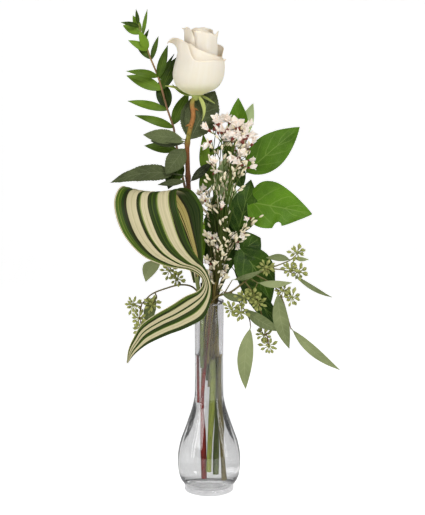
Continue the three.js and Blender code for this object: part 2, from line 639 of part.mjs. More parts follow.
const sprayRight = makeSpray('eucalyptusRight', EUCALYPTUS_RIGHT, 11);
const sprayLeft = makeSpray('eucalyptusLeft', EUCALYPTUS_LEFT, 12);
const broomFront = makeBroom('broomFront', BROOM_FRONT, 24, 13);
const broomBack = makeBroom('broomBack', BROOM_BACK, 24, 14);

const rose = new THREE.Group();
rose.add(asMesh('vase', makeVase(), paint(0xe8e8ec, 0.05)));
rose.add(asMesh('water', makeWater(), paint(0xdfe6e4, 0.02)));
rose.add(asMesh('rose_stem', makeRoseStem(), paint(0x4b5f33, 0.6)));
rose.add(asMesh('rose_bloom', makeBloom(), paint(0xefe6d6, 0.6)));
rose.add(asMesh('ruscus_tall', makeRuscusTall(), paint(0x4f8a2c, 0.5)));
rose.add(asMesh('ruscus_back', makeRuscusBack(), paint(0x4a7f33, 0.5)));
rose.add(asMesh('salal', makeSalal(), paint(0x4c8a26, 0.45)));
rose.add(asMesh('striped_leaf', makeStripedLeaf(), paint(0xb9b98a, 0.45)));
rose.add(asMesh('eucalyptus_right', sprayRight, paint(0x8f9a68, 0.6)));
rose.add(asMesh('eucalyptus_left', sprayLeft, paint(0x8f9a68, 0.6)));
rose.add(asMesh('broom_front', broomFront, paint(0xe6d3cc, 0.7)));
rose.add(asMesh('broom_back', broomBack, paint(0xe6d3cc, 0.7)));
export default rose;
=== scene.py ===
# %% [markdown]
# # A white rose in a bud vase
# This lesson dresses a finished plain model of a small flower arrangement. The plain model gives the sizes
# and places; every piece here is drawn in the same frame, so nothing has to be fitted afterwards.
# The first cell loads that frame.

# %% Load the frame
import math

import bmesh
import bpy
import numpy as np
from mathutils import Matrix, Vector


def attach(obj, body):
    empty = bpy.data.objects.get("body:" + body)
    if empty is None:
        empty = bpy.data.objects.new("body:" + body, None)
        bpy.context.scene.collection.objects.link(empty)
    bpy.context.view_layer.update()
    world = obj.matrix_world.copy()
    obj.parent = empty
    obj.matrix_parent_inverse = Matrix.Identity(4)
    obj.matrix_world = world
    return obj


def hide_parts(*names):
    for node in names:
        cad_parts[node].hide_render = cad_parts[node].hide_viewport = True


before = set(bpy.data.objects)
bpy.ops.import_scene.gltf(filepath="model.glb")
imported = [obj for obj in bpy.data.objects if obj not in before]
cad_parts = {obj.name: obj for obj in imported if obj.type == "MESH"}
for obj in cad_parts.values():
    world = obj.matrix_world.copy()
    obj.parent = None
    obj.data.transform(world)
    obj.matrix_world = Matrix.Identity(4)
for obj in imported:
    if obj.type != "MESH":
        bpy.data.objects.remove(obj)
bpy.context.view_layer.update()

MM = 0.001

# %% [markdown]
# ## The camera
# The arrangement was photographed with a long lens, at about the height of the bloom. The camera is tilted
# down by ten degrees and sees the foot at about twenty, which shows the foot as a narrow ellipse.

# %% Camera at the photograph's angle
CAMERA_PLACE = (3.6 * MM, -1280 * MM, 476 * MM)
CAMERA_TILT = math.radians(10)
FOCAL_LENGTH_IN_PIXELS = 1254
PICTURE_WIDTH_IN_PIXELS = 425
SENSOR_WIDTH = 36


def linked(name, data):
    """A new object with this data, placed in the scene."""
    made = bpy.data.objects.new(name, data)
    bpy.context.scene.collection.objects.link(made)
    return made


camera_data = bpy.data.cameras.new("camera")
camera_data.sensor_fit = "HORIZONTAL"
camera_data.sensor_width = SENSOR_WIDTH
camera_data.lens = SENSOR_WIDTH * FOCAL_LENGTH_IN_PIXELS / PICTURE_WIDTH_IN_PIXELS
camera = linked("camera", camera_data)
camera.location = CAMERA_PLACE
camera.rotation_euler = (math.pi / 2 - CAMERA_TILT, 0, 0)
bpy.context.scene.camera = camera
bpy.context.scene.view_settings.view_transform = "Standard"
print("lens in millimetres:", round(camera_data.lens, 1))

# %% [markdown]
# ## Node graphs in a few words
# The materials and the Geometry Nodes below are all trees of nodes. `Graph` adds a node and wires it in one
# call: an input that is a socket is linked, and any other input is a value. Its other methods are the few
# sums and coordinates that nearly every tree here needs. `Finish` is the graph of a new material.

# %% Graph helper


def rgb(code):
    """A colour from its six-digit code, as the shaders want it."""
    parts = [int(code[i:i + 2], 16) / 255 for i in (1, 3, 5)]
    return (*[c / 12.92 if c <= 0.04045 else ((c + 0.055) / 1.055) ** 2.4 for c in parts], 1)


class Graph:
    def __init__(self, tree):
        self.tree = tree

    def link(self, socket, target):
        self.tree.links.new(socket, target)

    def add(self, kind, inputs=None, **settings):
        """A new node. Sockets among its inputs are linked, and colour codes are turned into colours."""
        node = self.tree.nodes.new(kind)
        for key, value in settings.items():
            setattr(node, key, value)
        for key, value in (inputs or {}).items():
            if isinstance(value, bpy.types.NodeSocket):
                self.link(value, node.inputs[key])
            else:
                is_code = isinstance(value, str) and value.startswith("#")
                node.inputs[key].default_value = rgb(value) if is_code else value
        return node

    def math(self, operation, *values):
        return self.add("ShaderNodeMath", dict(enumerate(values)), operation=operation).outputs[0]

    def times(self, a, b):
        return self.math("MULTIPLY", a, b)

    def times_plus(self, a, b, c):
        return self.math("MULTIPLY_ADD", a, b, c)

    def one_minus(self, value):
        return self.math("SUBTRACT", 1.0, value)

    def split(self, vector):
        return self.add("ShaderNodeSeparateXYZ", {0: vector}).outputs

    def place(self):
        return self.add("ShaderNodeTexCoord").outputs["Object"]

    def uv(self):
        return self.split(self.add("ShaderNodeUVMap", uv_map="UVMap").outputs[0])

    def attribute(self, name):
        return self.add("ShaderNodeAttribute", attribute_name=name).outputs["Fac"]

    def mix(self, factor, a, b, blend="MIX"):
        inputs = {0: factor, 6: a, 7: b}
        return self.add("ShaderNodeMix", inputs, data_type="RGBA", blend_type=blend).outputs[2]

    def smooth(self, value, low, high):
        inputs = {"Value": value, "From Min": low, "From Max": high}
        return self.add("ShaderNodeMapRange", inputs, interpolation_type="SMOOTHSTEP").outputs[0]

    def noise(self, vector, scale, detail=3.0):
        inputs = {"Vector": vector, "Scale": scale, "Detail": detail}
        return self.add("ShaderNodeTexNoise", inputs).outputs["Fac"]

    def ramp(self, factor, stops, interpolation="LINEAR"):
        """A colour for each value from stops of (value, colour code)."""
        node = self.add("ShaderNodeValToRGB", {"Fac": factor})
        node.color_ramp.interpolation = interpolation
        while len(node.color_ramp.elements) < len(stops):
            node.color_ramp.elements.new(1.0)
        for element, (place, code) in zip(node.color_ramp.elements, stops):
            element.position = place
            element.color = rgb(code)
        return node.outputs["Color"]

    def effect(self, group, **values):
        """The outputs of a shader node group that is given its own values."""
        return self.add("ShaderNodeGroup", values, node_tree=group).outputs


print("cream in linear light:", [round(c, 3) for c in rgb("#efe6d6")])

# %% Finish helper


class Finish(Graph):
    """The graph of a new material, with the shader that its colour and relief are wired into."""

    def __init__(self, name, shader_values):
        self.material = bpy.data.materials.new(name)
        self.material.use_nodes = True
        super().__init__(self.material.node_tree)
        self.shader = self.tree.nodes["Principled BSDF"]
        for key, value in shader_values.items():
            self.shader.inputs[key].default_value = value

    def done(self, colour, height, strength, distance):
        """Wires in the colour and a slight relief, and gives back the material."""
        self.link(colour, self.shader.inputs["Base Color"])
        bump = self.add("ShaderNodeBump", {"Strength": strength, "Distance": distance, "Height": height})
        self.link(bump.outputs[0], self.shader.inputs["Normal"])
        return self.material


print("helpers: rgb, Graph, Finish")

# %% [markdown]
# ## Floor and light
# The background of a studio photograph is one sheet of paper that is floor and wall, so it has no edge. Here
# it is a bent strip. Two large soft lights stand in front at the left and the right, and a narrow one at each
# side draws the bright lines in the glass. Everything that is lit sees a dimmer world than the camera does,
# because glass in a world that is white all round loses its outline.

# %% White sweep
SWEEP_HALF, SWEEP_BACK, SWEEP_RISE = 3.0, 2.2, 2.6
SWEEP_BEND_STEPS = 12
GLOW_FOR_LIGHT, GLOW_FOR_CAMERA = 0.08, 0.6


def make_sweep():
    rows = [(-SWEEP_HALF, 0.0)]
    for step in range(SWEEP_BEND_STEPS + 1):
        angle = math.pi / 2 * step / SWEEP_BEND_STEPS
        rows.append((SWEEP_BACK + math.sin(angle) - 1, 1 - math.cos(angle)))
    rows.append((SWEEP_BACK, SWEEP_RISE))
    mesh = bpy.data.meshes.new("sweep")
    verts = [(x, y, z) for y, z in rows for x in (-SWEEP_HALF, SWEEP_HALF)]
    mesh.from_pydata(verts, [], [(2 * i, 2 * i + 1, 2 * i + 3, 2 * i + 2) for i in range(len(rows) - 1)])
    mesh.shade_smooth()
    paper = Finish("white paper", {"Base Color": (0.9, 0.9, 0.9, 1), "Roughness": 0.9,
                                   "Specular IOR Level": 0.1, "Emission Color": (1, 1, 1, 1)})
    seen = paper.add("ShaderNodeLightPath").outputs["Is Camera Ray"]
    glow = paper.add("ShaderNodeMix", {"Factor": seen, "A": GLOW_FOR_LIGHT, "B": GLOW_FOR_CAMERA})
    paper.link(glow.outputs["Result"], paper.shader.inputs["Emission Strength"])
    mesh.materials.append(paper.material)
    linked("sweep", mesh)


make_sweep()
print("sweep:", 2 * SWEEP_HALF, "m wide")

# %% World and soft lights
WORLD_IN_FRONT = {"From Min": -0.9, "To Min": 0.16}
WORLD_BEHIND = {"From Max": 0.5, "To Max": 0.5}


def make_world():
    """White all round for the camera; softer, and darker in front, for what is lit by it."""
    world = bpy.data.worlds.new("studio")
    bpy.context.scene.world = world
    world.use_nodes = True
    world.node_tree.nodes.clear()
    graph = Graph(world.node_tree)
    direction = graph.split(graph.add("ShaderNodeTexCoord").outputs["Generated"])
    level = graph.add("ShaderNodeMapRange", {"Value": direction["Y"], **WORLD_IN_FRONT, **WORLD_BEHIND})
    seen = graph.add("ShaderNodeLightPath").outputs["Is Camera Ray"]
    strength = graph.add("ShaderNodeMix", {"Factor": seen, "A": level.outputs["Result"], "B": 1.0})
    background = graph.add("ShaderNodeBackground", {"Strength": strength.outputs["Result"]})
    graph.add("ShaderNodeOutputWorld", {0: background.outputs[0]})


def soft_light(name, place, aim, width, height, watts):
    data = bpy.data.lights.new(name, "AREA")
    data.shape = "RECTANGLE"
    data.size, data.size_y = width, height
    data.energy = watts
    light = linked(name, data)
    light.location = place
    light.rotation_euler = (Vector(aim) - Vector(place)).to_track_quat("-Z", "Y").to_euler()


make_world()
soft_light("key", (0.6, -1.5, 1.4), (0, 0, 0.3), 0.6, 0.6, 20)
soft_light("fill", (-1.2, -1.3, 0.8), (0, 0, 0.3), 0.9, 0.9, 7.5)
for side in (-1, 1):
    soft_light(f"strip {side}", (side * 0.75, -0.35, 0.3), (0, 0, 0.25), 0.12, 0.9, 1.6)
print("studio: world, two soft lights and a strip at each side")

# %% [markdown]
# ## Small drawing tools
# Leaves and petals are thin closed sheets, and stems are tapering tubes along smooth curves. They could be
# modelled by hand, but a few functions make hundreds of them from their sizes. A `Shape` gathers many into
# one mesh, with a UV map that runs across and along each leaf, and two attributes: `tone`, a number that
# differs from leaf to leaf, and `under`, which is one on the underside. In the leaf finishes `tone` is also
# painted shade and painted light: a low tone darkens some leaves that sit in shadow, and a tone over one
# lightens shaded leaves that should read pale.

# %% Directions and curves
UP = np.array([0.0, 0.0, 1.0])
FRONT = np.array([0.0, -1.0, 0.25])
FRONT /= np.linalg.norm(FRONT)


def unit(vector):
    return vector / np.linalg.norm(vector)


def vec(*numbers):
    return np.array(numbers, dtype=float)


def around(degrees, rise=0.0):
    """The direction at this angle round an upright axis."""
    angle = math.radians(degrees)
    return np.array([math.cos(angle), math.sin(angle), rise])


class Curve:
    """A smooth curve through points, which it passes at equal steps of its parameter."""

    def __init__(self, points):
        self.points = np.array(points, dtype=float)

    def at(self, t):
        count = len(self.points) - 1
        place = min(max(t, 0.0), 1.0) * count
        i = min(int(place), count - 1)
        w = place - i
        p1, p2 = self.points[i], self.points[i + 1]
        p0 = self.points[i - 1] if i > 0 else 2 * p1 - p2
        p3 = self.points[i + 2] if i + 2 <= count else 2 * p2 - p1
        return 0.5 * (
            2 * p1 + (p2 - p0) * w + (2 * p0 - 5 * p1 + 4 * p2 - p3) * w**2
            + (3 * p1 - p0 - 3 * p2 + p3) * w**3
        )

    def along(self, t):
        return unit(self.at(min(t + 0.001, 1)) - self.at(max(t - 0.001, 0)))

    def at_height(self, z):
        low, high = 0.0, 1.0
        for _ in range(30):
            middle = (low + high) / 2
            if self.at(middle)[2] < z:
                low = middle
            else:
                high = middle
        return self.at(low)


print("halfway on a straight curve:", Curve([(0, 0, 0), (0, 0, 10)]).at(0.5))

# %% Gathering bodies
SHARP = math.radians(50)


class Shape:
    """Many small bodies in millimetres, gathered into one mesh."""

    def __init__(self):
        self.verts, self.faces, self.uvs, self.tones, self.unders = [], [], [], [], []

    def add(self, verts, faces, uvs, tone, under=None):
        base = len(self.verts)
        self.verts += [tuple(v) for v in verts]
        self.faces += [tuple(base + k for k in face) for face in faces]
        self.uvs += [tuple(uv) for uv in uvs]
        self.tones += [tone] * len(verts)
        self.unders += under or [0] * len(verts)

    def object(self, name, material):
        mesh = bpy.data.meshes.new(name)
        mesh.from_pydata([tuple(c * MM for c in v) for v in self.verts], [], self.faces)
        layer = mesh.uv_layers.new(name="UVMap")
        corners = np.empty(len(mesh.loops), dtype=np.int32)
        mesh.loops.foreach_get("vertex_index", corners)
        layer.data.foreach_set("uv", np.array(self.uvs, dtype=np.float32)[corners].ravel())
        for key, values in (("tone", self.tones), ("under", self.unders)):
            mesh.attributes.new(key, "FLOAT", "POINT").data.foreach_set("value", values)
        mesh.materials.append(material)
        mesh.shade_smooth()
        mesh.set_sharp_from_angle(angle=SHARP)
        mesh.validate()
        return linked(name, mesh)


print("edges are sharp from", round(math.degrees(SHARP)), "degrees")

# %% Tubes, turned forms and sheets


def ring_faces(rings, sides):
    """The faces between rings of vertices that follow each other."""
    faces = []
    for i in range(rings - 1):
        for j in range(sides):
            a, b = i * sides + j, i * sides + (j + 1) % sides
            faces.append((a, b, b + sides, a + sides))
    return faces


def tube(shape, curve, r0, r1, sides=10, steps=40, tone=0.5, swell=None):
    """A round tapering stalk with closed ends; swell(t) makes its joints thicker."""
    side = np.array([1.0, 0.0, 0.0])
    verts, uvs = [], []
    for i in range(steps + 1):
        t = i / steps
        along = curve.along(t)
        side = unit(side - along * np.dot(side, along))
        other = np.cross(along, side)
        radius = (r0 + (r1 - r0) * t) * (1 + (swell(t) if swell else 0))
        for j in range(sides):
            angle = 2 * math.pi * j / sides
            verts.append(curve.at(t) + radius * (math.cos(angle) * side + math.sin(angle) * other))
            uvs.append((abs(2 * j / sides - 1), t))
    faces = ring_faces(steps + 1, sides)
    for end, ring in ((0, 0), (1, steps)):
        centre = len(verts)
        verts.append(curve.at(end))
        uvs.append((0.5, end))
        for j in range(sides):
            a, b = ring * sides + j, ring * sides + (j + 1) % sides
            faces.append((centre, a, b) if end else (centre, b, a))
    shape.add(verts, faces, uvs, tone)


def revolve(shape, centre, rows, sides, tone=0.5):
    """A closed turned form round an upright axis; rows are (radius, height above the centre)."""
    turns = [2 * math.pi * j / sides for j in range(sides)]
    verts = [centre + vec(r * math.cos(turn), r * math.sin(turn), z) for r, z in rows for turn in turns]
    uvs = [(j / sides, i / (len(rows) - 1)) for i in range(len(rows)) for j in range(sides)]
    top = (len(rows) - 1) * sides
    ends = [tuple(range(sides - 1, -1, -1)), tuple(range(top, top + sides))]
    shape.add(verts, ring_faces(len(rows), sides) + ends, uvs, tone)


def grid_normals(grid):
    normals = np.cross(np.gradient(grid, axis=1), np.gradient(grid, axis=0))
    return normals / np.maximum(np.linalg.norm(normals, axis=2, keepdims=True), 1e-9)


def sheet(shape, grid, thickness, tone=0.5):
    """A closed thin body on both sides of a grid of points of shape rows x columns x 3."""
    rows, cols = grid.shape[:2]
    back = rows * cols
    offset = grid_normals(grid) * thickness / 2
    verts = np.concatenate([(grid + offset).reshape(-1, 3), (grid - offset).reshape(-1, 3)])
    grid_uv = [(j / (cols - 1), i / (rows - 1)) for i in range(rows) for j in range(cols)]
    faces = []
    for i in range(rows - 1):
        for j in range(cols - 1):
            a = i * cols + j
            b, c, d = a + 1, a + cols + 1, a + cols
            faces.append((a, b, c, d))
            faces.append((back + d, back + c, back + b, back + a))
        left, right = i * cols, i * cols + cols - 1
        faces.append((left, left + cols, back + left + cols, back + left))
        faces.append((right + cols, right, back + right, back + right + cols))
    for j in range(cols - 1):
        far = (rows - 1) * cols + j
        faces.append((j + 1, j, back + j, back + j + 1))
        faces.append((far, far + 1, back + far + 1, back + far))
    shape.add(verts, faces, grid_uv * 2, tone, [0] * back + [1] * back)


print("tools: Curve, Shape, tube, revolve, sheet")

# %% [markdown]
# ## One function for every leaf
# A leaf runs from its root on the stem to its tip. It is widest at `peak`, folded along the midrib, arched
# along its length and swept to one side. Teeth and waves are added along the margin. The plain model has the
# same leaves with few faces, so the two lie in the same place.

# %% Leaf
LEAF_THICKNESS = 0.45
LEAST_HALF_WIDTH = 0.35
TOOTHED_FROM, TOOTHED_TO = 0.04, 0.96
WAVE_TURNS, RIPPLE_TURNS = 9, 26


def leaf_outline(t, peak):
    power = math.log(0.5) / math.log(peak)
    return math.pow(max(math.sin(math.pi * t**power), 0.0), 0.85)


def turned_about(vector, axis, angle):
    return (vector * math.cos(angle) + np.cross(axis, vector) * math.sin(angle)
            + axis * np.dot(axis, vector) * (1 - math.cos(angle)))


def bitten(reach, blade, side, first, last, depth):
    """The half width where a bite is taken out of one side of the blade."""
    share = (blade - first) / (last - first)
    return reach * (1 - depth * math.sin(math.pi * share) ** 0.5) if side and 0 < share < 1 else reach


def leaf(shape, root, tip, width, rows=18, cols=6, peak=0.45, arch=0.08, fold=0.18, turn=0.0, teeth=0.0,
         tooth_count=0, petiole=0.0, sweep=0.0, wave=0.0, ripple=0.0, cup=0.0, face=FRONT, tone=0.5,
         bite=None, thickness=LEAF_THICKNESS):
    root, tip = vec(*root), vec(*tip)
    length = np.linalg.norm(tip - root)
    along = unit(tip - root)
    side = turned_about(unit(np.cross(along, face)), along, turn)
    normal = np.cross(side, along)
    grid = np.zeros((rows + 1, cols + 1, 3))
    for i in range(rows + 1):
        t = i / rows
        blade = max(0.0, (t - petiole) / (1 - petiole))
        half = max(width / 2 * leaf_outline(blade, peak), LEAST_HALF_WIDTH)
        if tooth_count and TOOTHED_FROM < blade < TOOTHED_TO:
            half *= 1 + teeth * (0.5 - (blade * tooth_count) % 1.0)
        bow = 4 * t * (1 - t)
        centre = root + along * length * t + normal * bow * arch * length + side * bow * sweep * length
        for j in range(cols + 1):
            across = 2 * j / cols - 1
            reach = bitten(half, blade, across > 0, *bite) if bite else half
            lift = abs(across) * fold * half - cup * half * across**2
            lift += wave * width * across * math.sin(t * WAVE_TURNS)
            lift += ripple * width * across**2 * math.sin(t * RIPPLE_TURNS + 2 * across + 5 * tone)
            grid[i, j] = centre + side * across * reach + normal * lift
    sheet(shape, grid, thickness, tone)


print("leaf thickness in millimetres:", LEAF_THICKNESS)

# %% [markdown]
# ## Where the stems go
# These are the points of the plain model, in millimetres: each stem from its cut end in the water to its tip.
# Every leaf, twig and flower below starts from a point on one of these curves.

# %% Stems
STEMS = {
    "rose": [(-0.4, -2.8, 22), (1, -2.8, 60), (3, -3, 117), (1.5, -2, 170), (0, 0, 208), (-8, 3, 240),
             (-18, 4, 285), (-21, 2, 322), (-22, 0, 352), (-22, 0, 369), (-19, 0, 384), (-16, 0, 396),
             (-17, 0, 409), (-13.6, 0, 417)],
    "ruscus_tall": [(5, 2.6, 18), (5.6, 2.8, 60), (5, 4.2, 117), (2, 7.5, 170), (-3, 9, 208), (-10, 14, 245),
                    (-20, 18, 298), (-29, 19, 339), (-35, 20, 372), (-37, 22, 384), (-43, 22, 402),
                    (-52, 22, 434), (-60, 21, 454), (-64, 21, 466), (-69, 20, 479), (-73, 19, 492)],
    "ruscus_back": [(-1, 8, 118), (-1, 8, 150), (-4, 6, 185), (-6.4, 7, 208), (-7, 11, 250), (-8, 13, 288),
                    (-7, 13, 335), (-3, 14, 355), (2, 15, 369)],
    "salal": [(11.5, 3, 12), (9.8, 0.6, 60), (8.2, -0.6, 117), (8.5, 1.3, 170), (7.9, 4.3, 206),
              (20, 15, 235), (29, 21, 268), (35, 24, 302), (35, 26, 330), (31, 26, 359), (28, 24, 384)],
    "eucalyptus_right": [(-4, 1.6, 14), (-4.8, 1.2, 60), (-5.6, -1.4, 100), (-3.6, -5, 137), (-1, -6.5, 170),
                         (4, -8, 206), (24, -11, 217), (44, -9, 232), (62, -7, 240)],
    "eucalyptus_left": [(-8.6, 0, 95), (-9, 0.4, 150), (-8.6, 0.5, 190), (-9.5, 1, 208), (-17, 0, 219),
                        (-30, -3, 222), (-46, -4, 218), (-60, -4, 212), (-70, -6, 202)],
    "broom_front": [(0, 3.4, 112), (2, 3, 150), (4.1, 2.2, 172), (5, 0.4, 190), (6, -1.4, 208), (12, -3, 240),
                    (16, -4, 279), (20, -4, 320), (23, -3, 362), (24, -2, 389)],
    "broom_back": [(-5, 4, 112), (-4, 4, 150), (-2, 3.2, 172), (2.4, 5.2, 208), (8, 6, 240), (8, 6, 279),
                   (5, 7, 310), (4, 7, 345)],
    "striped_leaf": [(-6.4, -7.4, 135), (-7, -7, 170), (-5.6, -8, 204), (-10, -12, 216), (-13, -13, 232)],
}
curves = {name: Curve(points) for name, points in STEMS.items()}
print("stems:", len(curves))

# %% [markdown]
# ## Shared effects
# Three effects return in most finishes, so each is a node group. `leaf veins` draws the midrib and the side
# veins from the leaf's own UV map. `mottle` gives the cloudy change of colour that living tissue has.
# `fibres` gives long fine streaks that follow a stem, a petal or a leaf. A group gives only masks; the shader
# stays outside.

# %% Shader node groups


def new_tree(name, kind, inputs, outputs):
    """An empty node group with named sockets, its graph, and its input and output nodes."""
    tree = bpy.data.node_groups.new(name, kind)
    for side, sockets in (("INPUT", inputs), ("OUTPUT", outputs)):
        for label, socket_kind, *value in sockets:
            socket = tree.interface.new_socket(label, in_out=side, socket_type="NodeSocket" + socket_kind)
            if value:
                socket.default_value = value[0]
    graph = Graph(tree)
    return graph, graph.add("NodeGroupInput").outputs, graph.add("NodeGroupOutput").inputs


def make_vein_group():
    inputs = [("Count", "Float", 7.0), ("Slant", "Float", 2.0), ("Width", "Float", 0.1),
              ("Rib", "Float", 0.05)]
    outputs = [("Midrib", "Float"), ("Veins", "Float")]
    graph, given, result = new_tree("leaf veins", "ShaderNodeTree", inputs, outputs)
    uv = graph.uv()
    across = graph.math("ABSOLUTE", graph.times_plus(uv["X"], 2.0, -1.0))
    wander = graph.noise(graph.place(), 90.0)
    bent = graph.times_plus(wander, 0.5, graph.times(across, given["Slant"]))
    phase = graph.math("FRACT", graph.math("SUBTRACT", graph.times(uv["Y"], given["Count"]), bent))
    far = graph.math("ABSOLUTE", graph.math("SUBTRACT", phase, 0.5))
    line = graph.one_minus(graph.smooth(far, 0.0, given["Width"]))
    fade = graph.one_minus(graph.math("POWER", across, 3.0))
    graph.link(graph.one_minus(graph.smooth(across, 0.0, given["Rib"])), result["Midrib"])
    graph.link(graph.times(line, fade), result["Veins"])
    return graph.tree


def make_mottle_group():
    inputs = [("Scale", "Float", 60.0), ("Contrast", "Float", 1.0)]
    graph, given, result = new_tree("mottle", "ShaderNodeTree", inputs, [("Factor", "Float")])
    cloud = graph.math("SUBTRACT", graph.noise(graph.place(), given["Scale"], 5.0), 0.5)
    spread = graph.times_plus(cloud, given["Contrast"], 0.5)
    graph.link(graph.add("ShaderNodeClamp", {0: spread}).outputs[0], result["Factor"])
    return graph.tree


def make_fibre_group():
    inputs = [("Fine", "Float", 60.0), ("Long", "Float", 3.0)]
    graph, given, result = new_tree("fibres", "ShaderNodeTree", inputs, [("Factor", "Float")])
    uv = graph.uv()
    place = {"X": graph.times(uv["X"], given["Fine"]), "Y": graph.times(uv["Y"], given["Long"]),
             "Z": graph.times(graph.attribute("tone"), 40.0)}
    streaks = graph.noise(graph.add("ShaderNodeCombineXYZ", place).outputs[0], 1.0, 4.0)
    graph.link(graph.smooth(streaks, 0.3, 0.7), result["Factor"])
    return graph.tree


vein_group, mottle_group, fibre_group = make_vein_group(), make_mottle_group(), make_fibre_group()
print("shader groups:", [group.name for group in (vein_group, mottle_group, fibre_group)])

# %% [markdown]
# ## Finishes for leaves and stems
# A leaf is two greens mixed by the mottle, with paler veins, a duller underside, and a waxy gloss whose
# roughness and relief follow the veins. A stem changes colour with its height, from the green part in water
# to the ripened wood above, so its colours are given as stops along Z. A photograph on the leaf would be less
# work, but it would fix the light and the lens of that photograph too.

# %% Leaf and stem materials
LEAF_SPECULAR, STEM_SPECULAR = 0.12, 0.15
STEM_ROUGHNESS = 0.5
SIDE_VEINS, UNDERSIDE = 0.7, 0.8
NET_SCALE, NET_LINE = 900.0, 0.12
SCAR = "#2a1c10"
SCAR_SCALE, SCAR_CORE, SCAR_RIM = 190.0, 0.1, 0.2


def leaf_material(name, deep, light, vein, under, roughness, veins, show, slant=2.0, line=0.1, net=0.0,
                  rib=0.05):
    """show is how strongly all veins stand out, and net how strongly the finest ones do among them."""
    skin = Finish(name, {"Roughness": roughness, "Specular IOR Level": LEAF_SPECULAR})
    cloud = skin.effect(mottle_group, Scale=55.0, Contrast=1.6)["Factor"]
    # Tone shifts each leaf's lightness: its own green, plus painted shade on some leaves in shadow and
    # painted light on others.
    tone = skin.times_plus(skin.attribute("tone"), 0.9, -0.25)
    lightness = skin.add("ShaderNodeClamp", {0: skin.times_plus(cloud, 0.55, tone)}).outputs[0]
    lines = skin.effect(vein_group, Count=veins, Slant=slant, Width=line, Rib=rib)
    drawn = skin.math("MAXIMUM", lines["Midrib"], skin.times(lines["Veins"], SIDE_VEINS))
    cells = skin.add("ShaderNodeTexVoronoi", {"Vector": skin.place(), "Scale": NET_SCALE},
                            feature="DISTANCE_TO_EDGE").outputs["Distance"]
    fine_net = skin.one_minus(skin.smooth(cells, 0.0, NET_LINE))
    drawn = skin.math("MAXIMUM", drawn, skin.times(fine_net, net))
    colour = skin.mix(lightness, deep, light)
    colour = skin.mix(skin.times(drawn, show), colour, vein)
    colour = skin.mix(skin.times(skin.attribute("under"), UNDERSIDE), colour, under)
    gloss = skin.times_plus(cloud, 0.2, roughness - 0.1)
    skin.link(gloss, skin.shader.inputs["Roughness"])
    height = skin.times_plus(cloud, 0.6, skin.times(drawn, -1.0))
    return skin.done(colour, height, 0.35, 0.0004)


def stem_material(name, stops, spots):
    """stops are [height in millimetres, colour]; spots is how strongly the small dark scars show."""
    bark = Finish(name, {"Specular IOR Level": STEM_SPECULAR, "Roughness": STEM_ROUGHNESS})
    place = bark.place()
    first, last = stops[0][0], stops[-1][0]
    share = bark.add("ShaderNodeMapRange", {
        "Value": bark.split(place)["Z"], "From Min": first * MM, "From Max": last * MM}).outputs[0]
    colour = bark.ramp(share, [((z - first) / (last - first), code) for z, code in stops])
    streaks = bark.effect(fibre_group, Fine=7.0, Long=40.0)["Factor"]
    colour = bark.mix(bark.times(streaks, 0.35), colour, SCAR, "MULTIPLY")
    dots = bark.add("ShaderNodeTexVoronoi", {"Vector": place, "Scale": SCAR_SCALE}).outputs["Distance"]
    scars = bark.one_minus(bark.smooth(dots, SCAR_CORE, SCAR_RIM))
    colour = bark.mix(bark.times(scars, spots), colour, SCAR)
    return bark.done(colour, bark.math("ADD", streaks, scars), 0.3, 0.0003)


print("finishes: leaf_material, stem_material")

# %% [markdown]
# ## Two Geometry Nodes trees
# The vase and the water are turned shapes, and the vase has soft flutes round its bulb. The first tree takes
# a profile, copies it round the axis and lets a cosine push it in and out. The second tree sets a small
# shape, such as a seed, on each point of a mesh, turned to the point's own direction and sized at random from
# a fixed seed. Both end in Realize Instances and Set Material, and the result is stored as a plain mesh.

# %% Turning tree


def end_tree(graph, geometry, given, result):
    real = graph.add("GeometryNodeRealizeInstances", {0: geometry}).outputs[0]
    done = graph.add("GeometryNodeSetMaterial", {"Geometry": real, "Material": given["Finish"]}).outputs[0]
    graph.link(done, result[0])
    return graph.tree


def make_turning_tree():
    inputs = [("Profile", "Geometry"), ("Around", "Int", 280), ("Flutes", "Int", 14), ("Depth", "Float", 0.0),
              ("Finish", "Material")]
    outputs = [("Geometry", "Geometry")]
    graph, given, result = new_tree("turned and fluted", "GeometryNodeTree", inputs, outputs)
    count = graph.add("GeometryNodeAttributeDomainSize", {0: given["Profile"]}).outputs["Point Count"]
    columns = graph.math("ADD", given["Around"], 1.0)
    grid = graph.add("GeometryNodeMeshGrid", {"Vertices X": columns, "Vertices Y": count}).outputs["Mesh"]
    index = graph.add("GeometryNodeInputIndex").outputs[0]
    row = graph.math("ADD", graph.math("MODULO", index, count), 0.5)
    column = graph.math("FLOOR", graph.math("DIVIDE", index, count))
    turn = graph.times(graph.math("DIVIDE", column, given["Around"]), 2 * math.pi)
    place = graph.add("GeometryNodeInputPosition").outputs[0]
    named = graph.add("GeometryNodeInputNamedAttribute", {"Name": "flute"}, data_type="FLOAT")
    point, push = (
        graph.add("GeometryNodeSampleIndex", {"Geometry": given["Profile"], "Value": value, "Index": row},
                  data_type=kind).outputs["Value"]
        for kind, value in (("FLOAT_VECTOR", place), ("FLOAT", named.outputs["Attribute"])))
    there = graph.split(point)
    wave = graph.math("COSINE", graph.times(turn, given["Flutes"]))
    depth = graph.times(graph.times(wave, given["Depth"]), push)
    radius = graph.math("ADD", there["X"], depth)
    corner = {"X": graph.times(radius, graph.math("COSINE", turn)),
              "Y": graph.times(radius, graph.math("SINE", turn)), "Z": there["Z"]}
    spot = graph.add("ShaderNodeCombineXYZ", corner).outputs[0]
    moved = graph.add("GeometryNodeSetPosition", {"Geometry": grid, "Position": spot}).outputs[0]
    merged = graph.add("GeometryNodeMergeByDistance", {"Geometry": moved, "Distance": 1e-6}).outputs[0]
    return end_tree(graph, merged, given, result)


turning_tree = make_turning_tree()
print("tree:", turning_tree.name)

# %% Scattering tree


